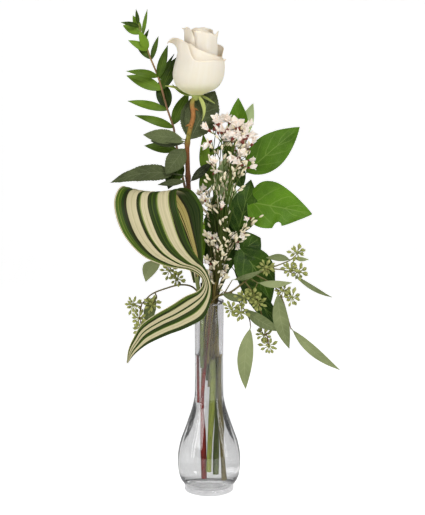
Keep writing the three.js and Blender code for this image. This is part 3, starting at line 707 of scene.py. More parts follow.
def make_scatter_tree():
    inputs = [("Points", "Geometry"), ("Shape", "Object"), ("Smallest", "Float", 0.8),
              ("Largest", "Float", 1.2), ("Seed", "Int", 1), ("Finish", "Material")]
    graph, given, result = new_tree("set on points", "GeometryNodeTree", inputs, [("Geometry", "Geometry")])
    aim = graph.add("GeometryNodeInputNamedAttribute", {"Name": "aim"}, data_type="FLOAT_VECTOR")
    aimed = graph.add("FunctionNodeAlignRotationToVector", {"Vector": aim.outputs["Attribute"]}, axis="Z")
    spin = graph.add("FunctionNodeRandomValue", {"Seed": given["Seed"]})
    size = graph.add("FunctionNodeRandomValue", {"Seed": graph.math("ADD", given["Seed"], 7.0)})
    for label, socket in (("Min", given["Smallest"]), ("Max", given["Largest"])):
        graph.link(socket, [s for s in size.inputs if s.name == label and s.type == "VALUE"][0])
    angle = graph.times(spin.outputs[1], 2 * math.pi)
    own = graph.add("FunctionNodeAxisAngleToRotation", {"Axis": (0, 0, 1), "Angle": angle})
    rotation = graph.add("FunctionNodeRotateRotation", {0: aimed.outputs[0], 1: own.outputs[0]},
                         rotation_space="LOCAL")
    shape = graph.add("GeometryNodeObjectInfo", {"Object": given["Shape"]}).outputs["Geometry"]
    points = graph.add("GeometryNodeMeshToPoints", {"Mesh": given["Points"]}).outputs[0]
    placed = graph.add("GeometryNodeInstanceOnPoints", {
        "Points": points, "Instance": shape, "Rotation": rotation.outputs[0], "Scale": size.outputs[1],
    }).outputs[0]
    return end_tree(graph, placed, given, result)


def baked(name, host, tree, values):
    """Runs a tree on an object and returns its result as a plain object that replaces it."""
    modifier = host.modifiers.new(tree.name, "NODES")
    modifier.node_group = tree
    for item in tree.interface.items_tree:
        if item.in_out == "INPUT" and item.name in values:
            modifier[item.identifier] = values[item.name]
    layers = bpy.context.evaluated_depsgraph_get()
    mesh = bpy.data.meshes.new_from_object(host.evaluated_get(layers), preserve_all_data_layers=True,
                                           depsgraph=layers)
    mesh.name = name
    bpy.data.objects.remove(host)
    return linked(name, mesh)


scatter_tree = make_scatter_tree()
print("tree:", scatter_tree.name)

# %% [markdown]
# ## The vase and its water
# The real vase is pressed glass: a straight neck, a pear-shaped bulb with soft flutes, and a thick foot.
# Clear glass has almost no colour of its own: the eye reads the bending of the background at its walls.
# The wall is therefore one closed shell with a true inside. The water is its own body, a hair wider than the
# inside of the glass, so that no film of air shines between them.

# %% Glass and water finishes
CLEAR_CLOUD = {"Scale": 45.0, "Contrast": 1.0}


def clear_material(name, tint, refraction, clear_shadow):
    """Clear stuff that lets light through to what stands in it, by a see-through answer to shadow rays."""
    clear = Finish(name, {"Roughness": 0.0, "Transmission Weight": 1.0, "IOR": refraction})
    cloud = clear.effect(mottle_group, **CLEAR_CLOUD)["Factor"]
    material = clear.done(clear.mix(cloud, tint, "#ffffff"), cloud, 0.12, 0.0004)
    through = clear.add("ShaderNodeBsdfTransparent", {"Color": (clear_shadow,) * 3 + (1,)})
    path = clear.add("ShaderNodeLightPath").outputs["Is Shadow Ray"]
    both = clear.add("ShaderNodeMixShader", {0: path, 1: clear.shader.outputs[0], 2: through.outputs[0]})
    clear.link(both.outputs[0], clear.tree.nodes["Material Output"].inputs["Surface"])
    return material


glass = clear_material("clear glass", "#f3f2f5", 1.5, 0.9)
water = clear_material("water", "#f6f8f4", 1.33, 0.97)
print("finishes:", glass.name, "and", water.name)

# %% Turning
VASE_HEIGHT, WATER_LEVEL, NECK_BORE = 203, 148, 12.2
OUTSIDE = [(26.5, 0), (26, 4), (25.4, 5.4), (26.6, 7), (29, 9.5), (31.6, 15), (33, 24), (33, 38), (30.4, 52),
           (26.3, 64), (22.5, 75), (18.6, 87), (16.2, 97), (15, 110), (15, 165), (15.3, VASE_HEIGHT - 0.8),
           (14.6, VASE_HEIGHT)]
INSIDE = [(NECK_BORE, VASE_HEIGHT - 1), (NECK_BORE, WATER_LEVEL), (NECK_BORE, 106), (13.4, 96), (15.6, 87),
          (19.2, 75), (23, 64), (27, 52), (29.7, 38), (29.8, 24), (28, 15), (24, 10), (16, 7.8), (0, 7.2)]
FLUTES = 14
FLUTE_DEPTH = 0.12 * MM
FLUTED_FROM, FLUTED_TO = 6, 96
FOOT_PAD_RADIUS = 24


def profile_points(rows, steps=4):
    curve = Curve([(r, 0, z) for r, z in rows])
    count = (len(rows) - 1) * steps
    points = [curve.at(i / count) for i in range(count + 1)]
    return [(max(p[0], 0.0), 0.0, p[2]) for p in points]


def turned_piece(name, points, flute_end, finish, depth):
    """points run from the axis to the axis; flutes are pressed into the first flute_end of them."""
    mesh = bpy.data.meshes.new(name)
    edges = [(i, i + 1) for i in range(len(points) - 1)]
    mesh.from_pydata([tuple(c * MM for c in p) for p in points], edges, [])
    span = FLUTED_TO - FLUTED_FROM
    share = [(p[2] - FLUTED_FROM) / span if i < flute_end else 0 for i, p in enumerate(points)]
    strength = [math.sin(math.pi * s) if 0 < s < 1 else 0.0 for s in share]
    mesh.attributes.new("flute", "FLOAT", "POINT").data.foreach_set("value", strength)
    values = {"Flutes": FLUTES, "Depth": depth, "Finish": finish}
    piece = baked(name, linked(name, mesh), turning_tree, values)
    work = bmesh.new()
    work.from_mesh(piece.data)
    bmesh.ops.recalc_face_normals(work, faces=work.faces)
    work.to_mesh(piece.data)
    work.free()
    piece.data.shade_smooth()
    piece.data.set_sharp_from_angle(angle=math.radians(30))
    return piece


def dress(piece, node):
    """Hands a finished piece to the frame, in place of this node of the plain model."""
    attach(piece, "root")
    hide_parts(node)
    print(piece.name, "has", len(piece.data.polygons), "faces")


outer = [(0, 0, 0), (FOOT_PAD_RADIUS, 0, 0)] + profile_points(OUTSIDE)
inner = profile_points(INSIDE)
dress(turned_piece("vase_glass", outer + inner, len(outer), glass, FLUTE_DEPTH), "vase")

# %% Water with its curved edge
OVERLAP = 0.1
WETTED = [(r + OVERLAP, z - OVERLAP) for r, z in reversed(INSIDE[2:-1])]
MENISCUS = [(NECK_BORE + OVERLAP, WATER_LEVEL - 2), (NECK_BORE + OVERLAP, WATER_LEVEL + 0.35),
            (NECK_BORE - 0.8, WATER_LEVEL + 0.1), (NECK_BORE - 2.2, WATER_LEVEL),
            (NECK_BORE - 5, WATER_LEVEL - 0.1), (0.0, WATER_LEVEL - 0.1)]
wet_points = [(0, 0, INSIDE[-1][1] - OVERLAP)] + profile_points(WETTED) + [(r, 0.0, z) for r, z in MENISCUS]
dress(turned_piece("vase_water", wet_points, 0, water, 0.0), "water")

# %% [markdown]
# ## The bloom
# A rose is a spiral of petals, each a curved sheet that starts narrow at the hip, follows the swell of the
# head and rolls outward at its rim. `petal` draws one: its rim is a list of directions round the head with
# the height reached there, and the rolled part is an arc with its own length. Sculpting would give the same
# forms, but this way each rim keeps a height and a place that can be read and changed. Directions are in
# degrees seen from above, with 270 at the front.

# %% Petal tool
BLOOM_BASE = vec(-13, 0, 421)
HEAD_HEIGHT = 63
PETAL_THICKNESS = 0.5
LEAST_ROLL = 0.3
RIM_WAVE = 0.012


def table(rows, samples=240):
    """A smooth function through rows of (place, value)."""
    curve = Curve([(x, 0, y) for x, y in rows])
    line = np.array([curve.at(i / samples) for i in range(samples + 1)])
    order = np.maximum.accumulate(line[:, 0])
    return lambda x: float(np.interp(x, order, line[:, 2]))


# Shares of the head's height with the radius there, and with how far the head leans to the right
head_radius = table([(-0.06, 4), (-0.03, 9), (0.01, 14.5), (0.07, 20.3), (0.15, 23.9), (0.27, 26),
                     (0.4, 25.6), (0.55, 24.1), (0.7, 23.2), (0.85, 22.4), (1, 21.5)])
tube_radius = table([(0.2, 12), (0.45, 16.5), (0.7, 16.2), (0.85, 15.6), (0.94, 15.2), (1.04, 16.2)])
head_axis = table([(0, 0), (0.05, 1.2), (0.27, 2.3), (0.5, 3.8), (0.7, 5), (0.88, 4.6), (1, 4.6)])


def petal(shape, rims, rolls, radius=head_radius, foot=-0.05, inset=(0.0, 1.2), wave=0.25, tone=0.5, rows=30,
          rolled=10, columns=56):
    """rims: (direction, share of the head's height); rolls: (direction, length rolled out, its radius)."""
    rim_at, length_at = table(rims), table([(degrees, length) for degrees, length, _ in rolls])
    bend_at = table([(degrees, bend) for degrees, _, bend in rolls])
    grid = np.zeros((rows + rolled + 1, columns + 1, 3))
    for j in range(columns + 1):
        share = j / columns
        degrees = rims[0][0] + (rims[-1][0] - rims[0][0]) * share
        angle, out = math.radians(degrees), around(degrees)
        rim = rim_at(degrees) + RIM_WAVE * wave * math.sin(5 * angle + 9 * tone)
        own = inset[0] + (inset[1] - inset[0]) * share
        for i in range(rows + 1):
            t = i / rows
            level = foot + (rim - foot) * t
            reach = radius(level) - own + wave * t**3 * math.sin(7 * angle + 20 * tone)
            grid[i, j] = BLOOM_BASE + out * reach + vec(head_axis(level), 0, level * HEAD_HEIGHT)
        last = grid[rows, j]
        rise = unit(last - grid[rows - 2, j])
        away = unit(out - rise * np.dot(out, rise))
        length, bend = max(length_at(degrees), LEAST_ROLL), bend_at(degrees)
        for k in range(1, rolled + 1):
            turn = length * k / rolled / bend
            grid[rows + k, j] = last + rise * bend * math.sin(turn) + away * bend * (1 - math.cos(turn))
    sheet(shape, grid, PETAL_THICKNESS, tone)


print("head is", HEAD_HEIGHT, "mm high")

# %% Petal finish


def petal_material():
    """Cream with a greenish foot, faint lengthwise veins and a darker, cooler rim."""
    skin = Finish("cream petal", {
        "Roughness": 0.55, "Specular IOR Level": 0.3, "Sheen Weight": 0.15, "Subsurface Weight": 0.35,
        "Subsurface Radius": (1.0, 0.75, 0.5), "Subsurface Scale": 0.004})
    low, high = BLOOM_BASE[2] * MM, (BLOOM_BASE[2] + HEAD_HEIGHT) * MM
    height = {"Value": skin.split(skin.place())["Z"], "From Min": low, "From Max": high}
    share = skin.add("ShaderNodeMapRange", height).outputs[0]
    colour = skin.ramp(share, [(0.0, "#eee69e"), (0.06, "#f4ebbe"), (0.15, "#f8ebcf"), (0.55, "#f8ebd6"),
                               (1.0, "#f7ebd6")])
    veins = skin.effect(fibre_group, Fine=34.0, Long=1.6)["Factor"]
    cloud = skin.effect(mottle_group, Scale=38.0, Contrast=1.4)["Factor"]
    rim = skin.smooth(skin.uv()["Y"], 0.9, 1.0)
    for mask, strength, tint in ((veins, 0.16, "#eed8ae"), (cloud, 0.18, "#f2dcc6"), (rim, 0.35, "#dccbb4")):
        colour = skin.mix(skin.times(mask, strength), colour, tint)
    return skin.done(colour, skin.times_plus(veins, 0.5, cloud), 0.25, 0.0005)


cream = petal_material()
print("finish:", cream.name)

# %% [markdown]
# ## Petals from the outside in
# The first two petals lap across the front, and the first one's tip curls far out at the left. The third
# leans out at the right, two more close the back, and the next three make the tall inner tube that rises
# behind the front ones. The heart is nine small petals set by the golden angle, as the plant sets them.

# %% Petals
OUTER_PETALS = [
    ([(142, 0.48), (165, 0.58), (185, 0.69), (200, 0.745), (215, 0.75), (228, 0.745), (237, 0.72), (246, 0.6),
      (255, 0.52), (265, 0.482), (290, 0.478), (312, 0.486), (335, 0.482), (352, 0.478), (372, 0.45)],
     [(142, 1, 3), (172, 4, 4), (184, 12, 5.5), (195, 18.5, 6), (205, 15, 6), (217, 6, 5), (236, 1.8, 2),
      (262, 1.6, 1.2), (300, 1.8, 1.2), (335, 2.4, 1.6), (352, 3.2, 2.2), (372, 1.5, 2)],
     {"inset": (0.4, 0.0), "tone": 0.1, "columns": 90}),
    ([(225, 0.74), (240, 0.75), (250, 0.71), (262, 0.665), (275, 0.63), (300, 0.58), (325, 0.535),
      (350, 0.495), (372, 0.46)],
     [(225, 0.8, 1.5), (262, 1.2, 1.2), (300, 1.4, 1.2), (350, 1.8, 1.6), (372, 1, 1.5)],
     {"inset": (1.8, 1.0), "tone": 0.35, "columns": 60}),
    ([(330, 0.42), (344, 0.48), (356, 0.51), (370, 0.53), (390, 0.56), (412, 0.58), (440, 0.56), (458, 0.5)],
     [(330, 0.5, 6), (350, 6, 18), (380, 10, 20), (412, 10.5, 20), (458, 3, 10)],
     {"inset": (1.8, 1.4), "tone": 0.6}),
    ([(72, 0.56), (95, 0.66), (120, 0.68), (150, 0.62), (178, 0.52)],
     [(72, 1, 2), (100, 4, 3), (125, 5, 3.2), (150, 3.5, 3), (178, 1, 2)],
     {"inset": (0.8, 1.6), "tone": 0.8}),
    ([(20, 0.5), (50, 0.6), (80, 0.63), (105, 0.5)],
     [(20, 1, 2), (50, 3.4, 2.6), (80, 3.6, 2.6), (105, 1, 2)], {"inset": (0.0, 0.4), "tone": 0.22}),
]
TUBE_PETALS = [
    ([(104, 0.86), (140, 0.96), (165, 0.965), (182, 0.955), (195, 0.96), (207, 0.95), (220, 0.965),
      (236, 0.95), (249, 0.86)],
     [(104, 0.8, 2), (160, 2, 2.5), (182, 3.4, 3.2), (195, 4.4, 3.4), (207, 3.6, 3.2), (220, 4.2, 3),
      (236, 2.4, 2), (249, 1, 1.4)],
     {"inset": (0.2, -0.9), "wave": 0.9, "tone": 0.15, "columns": 90}),
    ([(214, 0.88), (232, 0.925), (255, 0.94), (280, 0.925), (305, 0.915), (325, 0.885), (338, 0.865),
      (349, 0.885), (358, 0.855), (368, 0.8), (382, 0.74)],
     [(214, 0.6, 1.5), (250, 1.4, 1.6), (300, 1.6, 1.4), (330, 1.8, 2), (342, 4, 4.5), (351, 5.5, 5),
      (360, 4, 4.5), (382, 1, 2)],
     {"inset": (1.7, -0.6), "wave": 0.5, "tone": 0.45}),
    ([(352, 0.8), (385, 0.93), (420, 0.97), (455, 0.975), (490, 0.95), (520, 0.86)],
     [(352, 0.6, 1.5), (400, 2.2, 2), (440, 3, 2.4), (490, 2, 2), (520, 1, 1.5)],
     {"inset": (1.6, 0.9), "wave": 0.7, "tone": 0.75}),
]
HEART_PETALS = 9
GOLDEN_ANGLE = 137.5
# The first heart petal's direction, depth in the tube and top, and how much the next ones differ
FIRST_DIRECTION, FIRST_DEPTH, FIRST_TOP = 200, 2.6, 0.985
DEEPER, LOWER = 1.35, 0.012
HEART_SPAN = 130

bloom = Shape()
for rims, rolls, form in OUTER_PETALS:
    petal(bloom, rims, rolls, **form)
for rims, rolls, form in TUBE_PETALS:
    petal(bloom, rims, rolls, radius=tube_radius, foot=0.3, **form)
for number in range(HEART_PETALS):
    first = FIRST_DIRECTION + GOLDEN_ANGLE * number
    last = first + HEART_SPAN
    depth = FIRST_DEPTH + DEEPER * number
    top = FIRST_TOP - LOWER * number
    petal(bloom, [(first, top - 0.1), (first + 45, top), (first + 90, top - 0.01), (last, top - 0.1)],
          [(first, 0.5, 1.5), (first + HEART_SPAN / 2, 1.5 - 0.08 * number, 1.4), (last, 0.5, 1.5)],
          radius=tube_radius, foot=0.45, inset=(depth, depth + 1.1), wave=0.5, tone=0.1 * number, rows=14,
          rolled=6, columns=26)
dress(bloom.object("rose_petals", cream), "rose_bloom")

# %% [markdown]
# ## The rose's cane, hip and leaves
# The cane is ripe wood, reddish brown, turning orange and then green towards the bloom, and fresh green where
# it stands in water. It thickens where leaves leave it. The hip is the small green cup that carries the
# petals, with its five narrow sepals. Rose leaves are matt, dark and toothed, with a net of fine veins.

# %% Rose cane and thorns
CANE_RADIUS, CANE_TIP_RADIUS = 2.6, 2.3
LEAF_JOINTS = (369, 334, 250)
JOINT_SWELL, JOINT_REACH = 0.3, 3.0
THORNS = [(404, 20), (388, 200), (357, 150), (310, 30)]


def cane_swell(t):
    height = curves["rose"].at(t)[2]
    return sum(JOINT_SWELL * math.exp(-((height - level) / JOINT_REACH) ** 2) for level in LEAF_JOINTS)


def thorn(shape, height, degrees):
    root = curves["rose"].at_height(height)
    out = unit(around(degrees, -0.25))
    hook = [root + out * CANE_RADIUS * 0.5, root + out * (CANE_RADIUS + 1.6),
            root + out * (CANE_RADIUS + 4) - UP * 0.8]
    tube(shape, Curve(hook), 1.5, 0.15, sides=8, steps=8)


cane_finish = stem_material("rose cane", [
    (20, "#868f42"), (90, "#828c3e"), (136, "#747e3e"), (158, "#5a4426"), (260, "#4e321c"), (330, "#5e3c24"),
    (364, "#8a5733"), (376, "#8e8a3a"), (388, "#b07a45"), (404, "#b07a45"), (414, "#9a9a4a"),
    (421, "#a9b457"),
], spots=0.7)
cane = Shape()
tube(cane, curves["rose"], CANE_RADIUS, CANE_TIP_RADIUS, sides=14, steps=160, swell=cane_swell)
for height, degrees in THORNS:
    thorn(cane, height, degrees)
dress(cane.object("rose_cane", cane_finish), "rose_stem")

# %% Hip and sepals
HIP = [(0.1, 9.6), (2.2, 8.4), (3.2, 6.8), (4.8, 4.8), (5.4, 3), (5.6, 1.2), (4.8, 0.2), (0.1, 0)]
HIP_STEPS = 28
SEPAL_ROOT_RADIUS, SEPAL_ROOT_DEPTH = 3.4, 3.6
SEPALS = [  # tip, width, sweep, tone
    ((-44, -8, 427), 5.0, 0.16, 0.75), ((-37, 6, 428), 4.4, -0.12, 0.05), ((-7, -9, 392), 4.0, -0.16, 0.9),
    ((6, 2, 409), 3.2, -0.1, 0.5), ((-16, 14, 404), 4.6, 0.1, 0.2),
]
hip_finish = leaf_material("hip and sepals", "#6f8232", "#b2ba6c", "#d3d798", "#a3b070", 0.5, 3.0, 0.25)
hip = Shape()
hip_curve = Curve([(r, 0, -depth) for r, depth in HIP])
hip_points = [hip_curve.at(i / HIP_STEPS) for i in range(HIP_STEPS + 1)]
revolve(hip, BLOOM_BASE, [(max(p[0], 0.1), p[2]) for p in hip_points], 24, tone=0.6)
for tip, width, sweep, tone in SEPALS:
    out = vec(*tip) - BLOOM_BASE
    out[2] = 0
    root = BLOOM_BASE + unit(out) * SEPAL_ROOT_RADIUS - UP * SEPAL_ROOT_DEPTH
    leaf(hip, root, tip, width, rows=26, peak=0.3, arch=-0.06, fold=0.25, face=unit(UP + FRONT), sweep=sweep,
         wave=0.05, tone=tone, thickness=0.7)
dress(hip.object("rose_hip", hip_finish), "rose_stem")

# %% Rose leaves
ROSE_LEAVES = [
    (366, 6, 14, 421, 34, {"tone": 0.45}), (368, -13, 16, 417, 24, {"tone": 0.3}),
    (372, -67, 4, 377, 15, {"tone": 0.95}), (368, -60, 12, 370, 11, {"tone": 0.3}),
    (370, -44, -6, 371, 4, {"tone": 1.0}), (366, -44, -8, 338, 20, {"tone": 0.6}),
    (334, -101, 2, 328, 17, {"petiole": 0.2, "sweep": 0.08, "peak": 0.34, "tone": 0.6, "ripple": 0.09,
                             "wave": 0.05}),
    (330, -52, -8, 327, 7, {"tone": 0.4}), (327, 3, 10, 348, 9, {"tone": 0.0}),
]


def leafy(shape, stem, leaf_rows, tones=(0.5,), **form):
    """One leaf for each row of (height of the root on the stem, tip x, y, z, width, own options)."""
    for number, (height, x, y, z, width, *own) in enumerate(leaf_rows):
        options = {"tone": tones[number % len(tones)], **form, **(own[0] if own else {})}
        leaf(shape, curves[stem].at_height(height), (x, y, z), width, **options)


rose_leaf_finish = leaf_material("rose leaf", "#121a08", "#5e6840", "#848e68", "#5c6648", 0.62, 8.0, 0.5,
                                 slant=1.6, net=0.6)
rose_leaves = Shape()
leafy(rose_leaves, "rose", ROSE_LEAVES, rows=84, cols=10, teeth=0.1, tooth_count=20, petiole=0.12, fold=0.14,
      ripple=0.012, peak=0.46)
dress(rose_leaves.object("rose_leaves", rose_leaf_finish), "rose_stem")

# %% [markdown]
# ## Ruscus
# Italian ruscus has a thin arching stem with smooth pointed leaves that stand alternately on both sides. The
# leaves at the young tip are yellow-green and small; lower down they are darker and wider. They are placed
# one by one, because the eye knows the few gaps and crossings of the real stem.

# %% Ruscus stems and leaves
RUSCUS_TALL_LEAVES = [
    (488, -74, 18, 503, 4), (486, -89, 12, 490, 5), (479, -88, 26, 487, 10), (480, -78, 28, 497, 7),
    (476, -63, 26, 503, 4), (472, -61, 14, 483, 3.5), (463, -71, 12, 482, 9), (462, -82, 14, 472, 8),
    (453, -75, 28, 468, 7), (452, -52, 27, 476, 5.5), (435, -84, 12, 441, 8, {"arch": 0.16}),
    (422, -85, 28, 436, 13), (434, -42, 14, 467, 9), (432, -36, 32, 458, 4), (422, -33, 32, 455, 13),
    (402, -51, 34, 432, 16), (401, -84, 28, 410, 9), (383, -76, 14, 396, 9, {"arch": 0.14}),
    (386, -21, 30, 419, 13), (360, -67, 24, 364, 11), (350, -42, 6, 321, 20, {"tone": 0.1}),
]
RUSCUS_BACK_LEAVES = [
    (340, -6, 10, 377, 11, {"tone": 0.75, "sweep": 0.05}), (362, 6, 22, 356, 5), (352, 23, 20, 370, 4),
    (246, -5, 8, 290, 5), (316, 7, 20, 352, 15),
]
# Partly each leaf's own green, partly painted shade: the lowest tones darken leaves behind the stem or deep
# in the spray.
RUSCUS_TONES_AND_SHADE = (0.1, 0.2, 0.9, 1.0, 0.5, 0.1, 1.0, 0.85, 0.2, 0.15, 0.5, 0.65, 0.15, 0.1, 0.1, 0.0, 0.6, 0.5,
                0.3, 0.3, 0.25)
ruscus_finish = leaf_material("ruscus leaf", "#182c04", "#76982c", "#94a652", "#5c7a30", 0.42, 1.0, 0.3,
                              rib=0.07)
ruscus_bark = stem_material("ruscus stem", [
    (15, "#54602e"), (200, "#4c5a2a"), (380, "#a07c60"), (440, "#a8845f"), (495, "#7f8a45")], spots=0.3)


def dress_stalk_and_leaves(stem, stalk, bark, blades, finish):
    dress(stalk.object(stem + "_stalk", bark), stem)
    dress(blades.object(stem + "_leaves", finish), stem)


for stem, rows, radii in (("ruscus_tall", RUSCUS_TALL_LEAVES, (1.8, 0.7)),
                          ("ruscus_back", RUSCUS_BACK_LEAVES, (1.2, 0.7))):
    stalk, blades = Shape(), Shape()
    tube(stalk, curves[stem], *radii, steps=110)
    leafy(blades, stem, rows, RUSCUS_TONES_AND_SHADE, rows=30, cols=8, peak=0.42, ripple=0.006)
    dress_stalk_and_leaves(stem, stalk, ruscus_bark, blades, ruscus_finish)

# %% [markdown]
# ## Salal
# Salal, or lemon leaf, has broad leathery leaves with a fine point. They are bright green with a pale midrib,
# and the side veins curve forward. The margins wave a little, one leaf has a bite in its lower edge, and two
# are turned by half a turn about their length, so that they show the pale underside.

# %% Salal stem and leaves
FIRST_BITTEN, LAST_BITTEN, BITE_DEPTH = 0.46, 0.59, 0.26
TURNED = {"turn": math.pi}
# The low tones are partly painted shade on leaves deep in the spray; the tones over one are painted light on
# the two turned leaves, which sit in shade.
SALAL_LEAVES = [
    (332, 95, 42, 382, 36, {"tone": 0.55}),
    (306, 107, 12, 294, 50, {"peak": 0.3, "tone": 0.75, "bite": (FIRST_BITTEN, LAST_BITTEN, BITE_DEPTH)}),
    (268, 44, 28, 328, 31, {"tone": 0.1}), (248, 54, 24, 267, 32, {"tone": 0.1, "peak": 0.52}),
    (262, 65, 14, 199, 39, {"tone": 0.15, "sweep": -0.05}),
    (240, 79, 10, 167, 19, {"peak": 0.5, "tone": 0.0}),
    (372, 30, 12, 414, 21, {"tone": 0.7}), (366, 46, 38, 407, 15, {**TURNED, "tone": 1.3, "peak": 0.46}),
    (296, 18, -1, 354, 23, {**TURNED, "tone": 1.5, "sweep": 0.18}),
    (222, 8, 27, 318, 39, {"tone": 0.0, "arch": -0.04}), (316, 15, 30, 374, 19, {"tone": 0.0}),
]
# Undersides are paler than the tops; this colour is lighter still, as painted light on the turned leaves in
# shade.
salal_finish = leaf_material("salal leaf", "#143202", "#5f8c1a", "#9cb45e", "#b4c392", 0.42, 4.5, 0.4,
                             slant=1.7, line=0.09, net=0.4, rib=0.04)
salal_bark = stem_material("salal stem", [
    (10, "#6a6038"), (100, "#625c36"), (150, "#5c5c32"), (230, "#4f5a2c"), (385, "#6d7f3c")], spots=0.5)
stalk, blades = Shape(), Shape()
tube(stalk, curves["salal"], 2.4, 0.9, sides=12, steps=110)
leafy(blades, "salal", SALAL_LEAVES, rows=56, cols=16, peak=0.38, petiole=0.08, wave=0.02, fold=0.2,
      ripple=0.014, teeth=0.02, tooth_count=26)
dress_stalk_and_leaves("salal", stalk, salal_bark, blades, salal_finish)

# %% [markdown]
# ## The looped striped leaf
# One long variegated leaf rises behind, rolls over the top, falls as a broad striped panel, narrows at the
# mouth of the vase and runs out to a tip at the left. A cloth simulation would fold it somewhere else, so it
# is a ruled surface: each station gives the left and the right margin.

# %% Striped leaf surface
STRIPED_STATIONS = [
    ((-16, -12, 226), (-10, -12, 226)), ((-23, -13, 246), (-7, -10, 250)), ((-45, -15, 274), (-7, -7, 276)),
    ((-70, -14, 300), (-6, -8, 299)), ((-82, -14, 316), (-10, -12, 312)), ((-85, -22, 327), (-18, -20, 323)),
    ((-91, -36, 325), (-31, -36, 326)), ((-94, -47, 313), (-32, -46, 313)),
    ((-90, -54, 295), (-27, -50, 295)),
    ((-81, -56, 278), (-21, -48, 276)), ((-65, -54, 261), (-15, -43, 263)), ((-43, -48, 250), (-8, -37, 252)),
    ((-22, -40, 245), (-4, -33, 246)), ((-10, -33, 238), (0, -28, 236)), ((-6, -30, 229), (3, -25, 222)),
    ((-11, -34, 222), (1, -27, 207)), ((-24, -38, 217), (-6, -32, 193)), ((-39, -42, 208), (-24, -38, 184)),
    ((-54, -46, 200), (-42, -42, 178)), ((-68, -50, 190), (-59, -46, 171)),
    ((-76, -52, 177), (-68, -50, 166)),
    ((-81, -52, 165), (-76, -51, 159)), ((-83, -51, 151), (-82, -51, 151)),
]
STRIPED_CAMBER, STRIPED_THICKNESS = 0.07, 0.7
RIB_HEIGHT, RIB_TURNS, FULL_RIBS_FROM_WIDTH = 0.25, 60, 40


def striped_grid(rows=190, cols=48):
    left, right = (Curve([station[side] for station in STRIPED_STATIONS]) for side in (0, 1))
    share = np.linspace(0, 1, cols + 1)[None, :, None]
    a = np.array([left.at(i / rows) for i in range(rows + 1)])[:, None, :]
    b = np.array([right.at(i / rows) for i in range(rows + 1)])[:, None, :]
    flat = a * (1 - share) + b * share
    width = np.linalg.norm(b - a, axis=2, keepdims=True)
    crown = STRIPED_CAMBER * width * (1 - (2 * share - 1) ** 2)
    ribs = RIB_HEIGHT * np.sin(share * RIB_TURNS) * np.minimum(width / FULL_RIBS_FROM_WIDTH, 1)
    return flat + grid_normals(flat) * (crown + ribs)


blade, stalk = Shape(), Shape()
sheet(blade, striped_grid(), STRIPED_THICKNESS)
tube(stalk, curves["striped_leaf"], 1.8, 2.2, sides=12)
print("striped leaf:", len(blade.faces), "faces")

# %% [markdown]
# ## Stripes
# The stripes run along the leaf, so they are a ramp across its UV map with hard steps, one ramp for the part
# that rises behind and one for the part in front. The ramp behind is partly painted shade: its black bands
# darken the inside of the loop. Noise shakes their borders, and fine fibres cross both colours, darker on
# the green.

# %% Striped finish
CREAM, PALE, MID, DEEP, DARK = "#d3c8a2", "#9ba460", "#3d5e0c", "#163406", "#0c1004"
LINE, WARM, OLIVE = "#c0b68c", "#b9a865", "#74862f"
FRONT_STRIPES = [
    (0.0, CREAM), (0.02, MID), (0.06, OLIVE), (0.068, MID), (0.105, OLIVE), (0.113, DEEP), (0.16, DARK),
    (0.185, PALE), (0.195, CREAM), (0.268, LINE), (0.276, CREAM), (0.355, DARK), (0.37, DEEP), (0.395, MID),
    (0.41, PALE), (0.42, CREAM), (0.47, LINE), (0.478, CREAM), (0.53, DARK), (0.55, DEEP), (0.6, MID),
    (0.615, DEEP), (0.655, MID), (0.685, PALE), (0.7, CREAM), (0.78, LINE), (0.788, CREAM), (0.86, PALE),
    (0.875, DARK), (0.9, DEEP), (0.98, MID),
]
# Stripes of the part behind, with black bands of painted shade for the inside of the loop
BACK_STRIPES_AND_SHADE = [
    (0.0, CREAM), (0.04, DEEP), (0.3, CREAM), (0.4, DARK), (0.46, CREAM), (0.52, DARK), (0.6, WARM),
    (0.625, DARK), (0.635, WARM), (0.68, "#6f6a30"), (0.69, WARM), (0.74, DARK), (0.78, DEEP), (0.95, MID),
]
FRONT_BEGINS, FRONT_IS_FULL = 0.2, 0.26
BORDER_SHAKE = 0.018


def striped_material():
    skin = Finish("striped leaf", {"Roughness": 0.4, "Specular IOR Level": 0.1})
    uv = skin.uv()
    fibres, broad, lines = (skin.effect(fibre_group, Fine=fine, Long=length)["Factor"]
                            for fine, length in ((150.0, 5.0), (30.0, 3.0), (95.0, 1.2)))
    shaken = skin.times_plus(skin.math("SUBTRACT", broad, 0.5), BORDER_SHAKE, uv["X"])
    back, front = (skin.ramp(shaken, stripes, "CONSTANT") for stripes in (BACK_STRIPES_AND_SHADE, FRONT_STRIPES))
    colour = skin.mix(skin.smooth(uv["Y"], FRONT_BEGINS, FRONT_IS_FULL), back, front)
    red = skin.add("ShaderNodeSeparateColor", {0: colour}).outputs[0]
    green = skin.one_minus(skin.smooth(red, 0.1, 0.4))
    dark = skin.times(lines, skin.times_plus(green, 0.45, 0.2))
    colour = skin.mix(dark, colour, "#1a2a08", "MULTIPLY")
    colour = skin.mix(skin.times(fibres, 0.15), colour, "#8a8a50")
    ribs = skin.math("SINE", skin.times(uv["X"], 150.0))
    return skin.done(colour, skin.times_plus(fibres, 0.7, skin.times(ribs, 0.3)), 0.3, 0.0004)


stalk_finish = stem_material("striped leaf stalk", [(130, "#5d6a35"), (190, "#6f7a3c"), (235, "#9aa568")],
                             spots=0.2)
dress(blade.object("striped_leaf_blade", striped_material()), "striped_leaf")
dress(stalk.object("striped_leaf_stalk", stalk_finish), "striped_leaf")

# %% [markdown]
# ## Seeded eucalyptus
# Thin twigs carry narrow grey-green leaves and heads of pale pointed seeds. Each seed is a small drop with
# its point outward. Modelling each of the hundreds would be slow to change, so one drop is drawn, and the
# scattering tree sets it on every seed's place.

# %% Shapes to scatter and their places


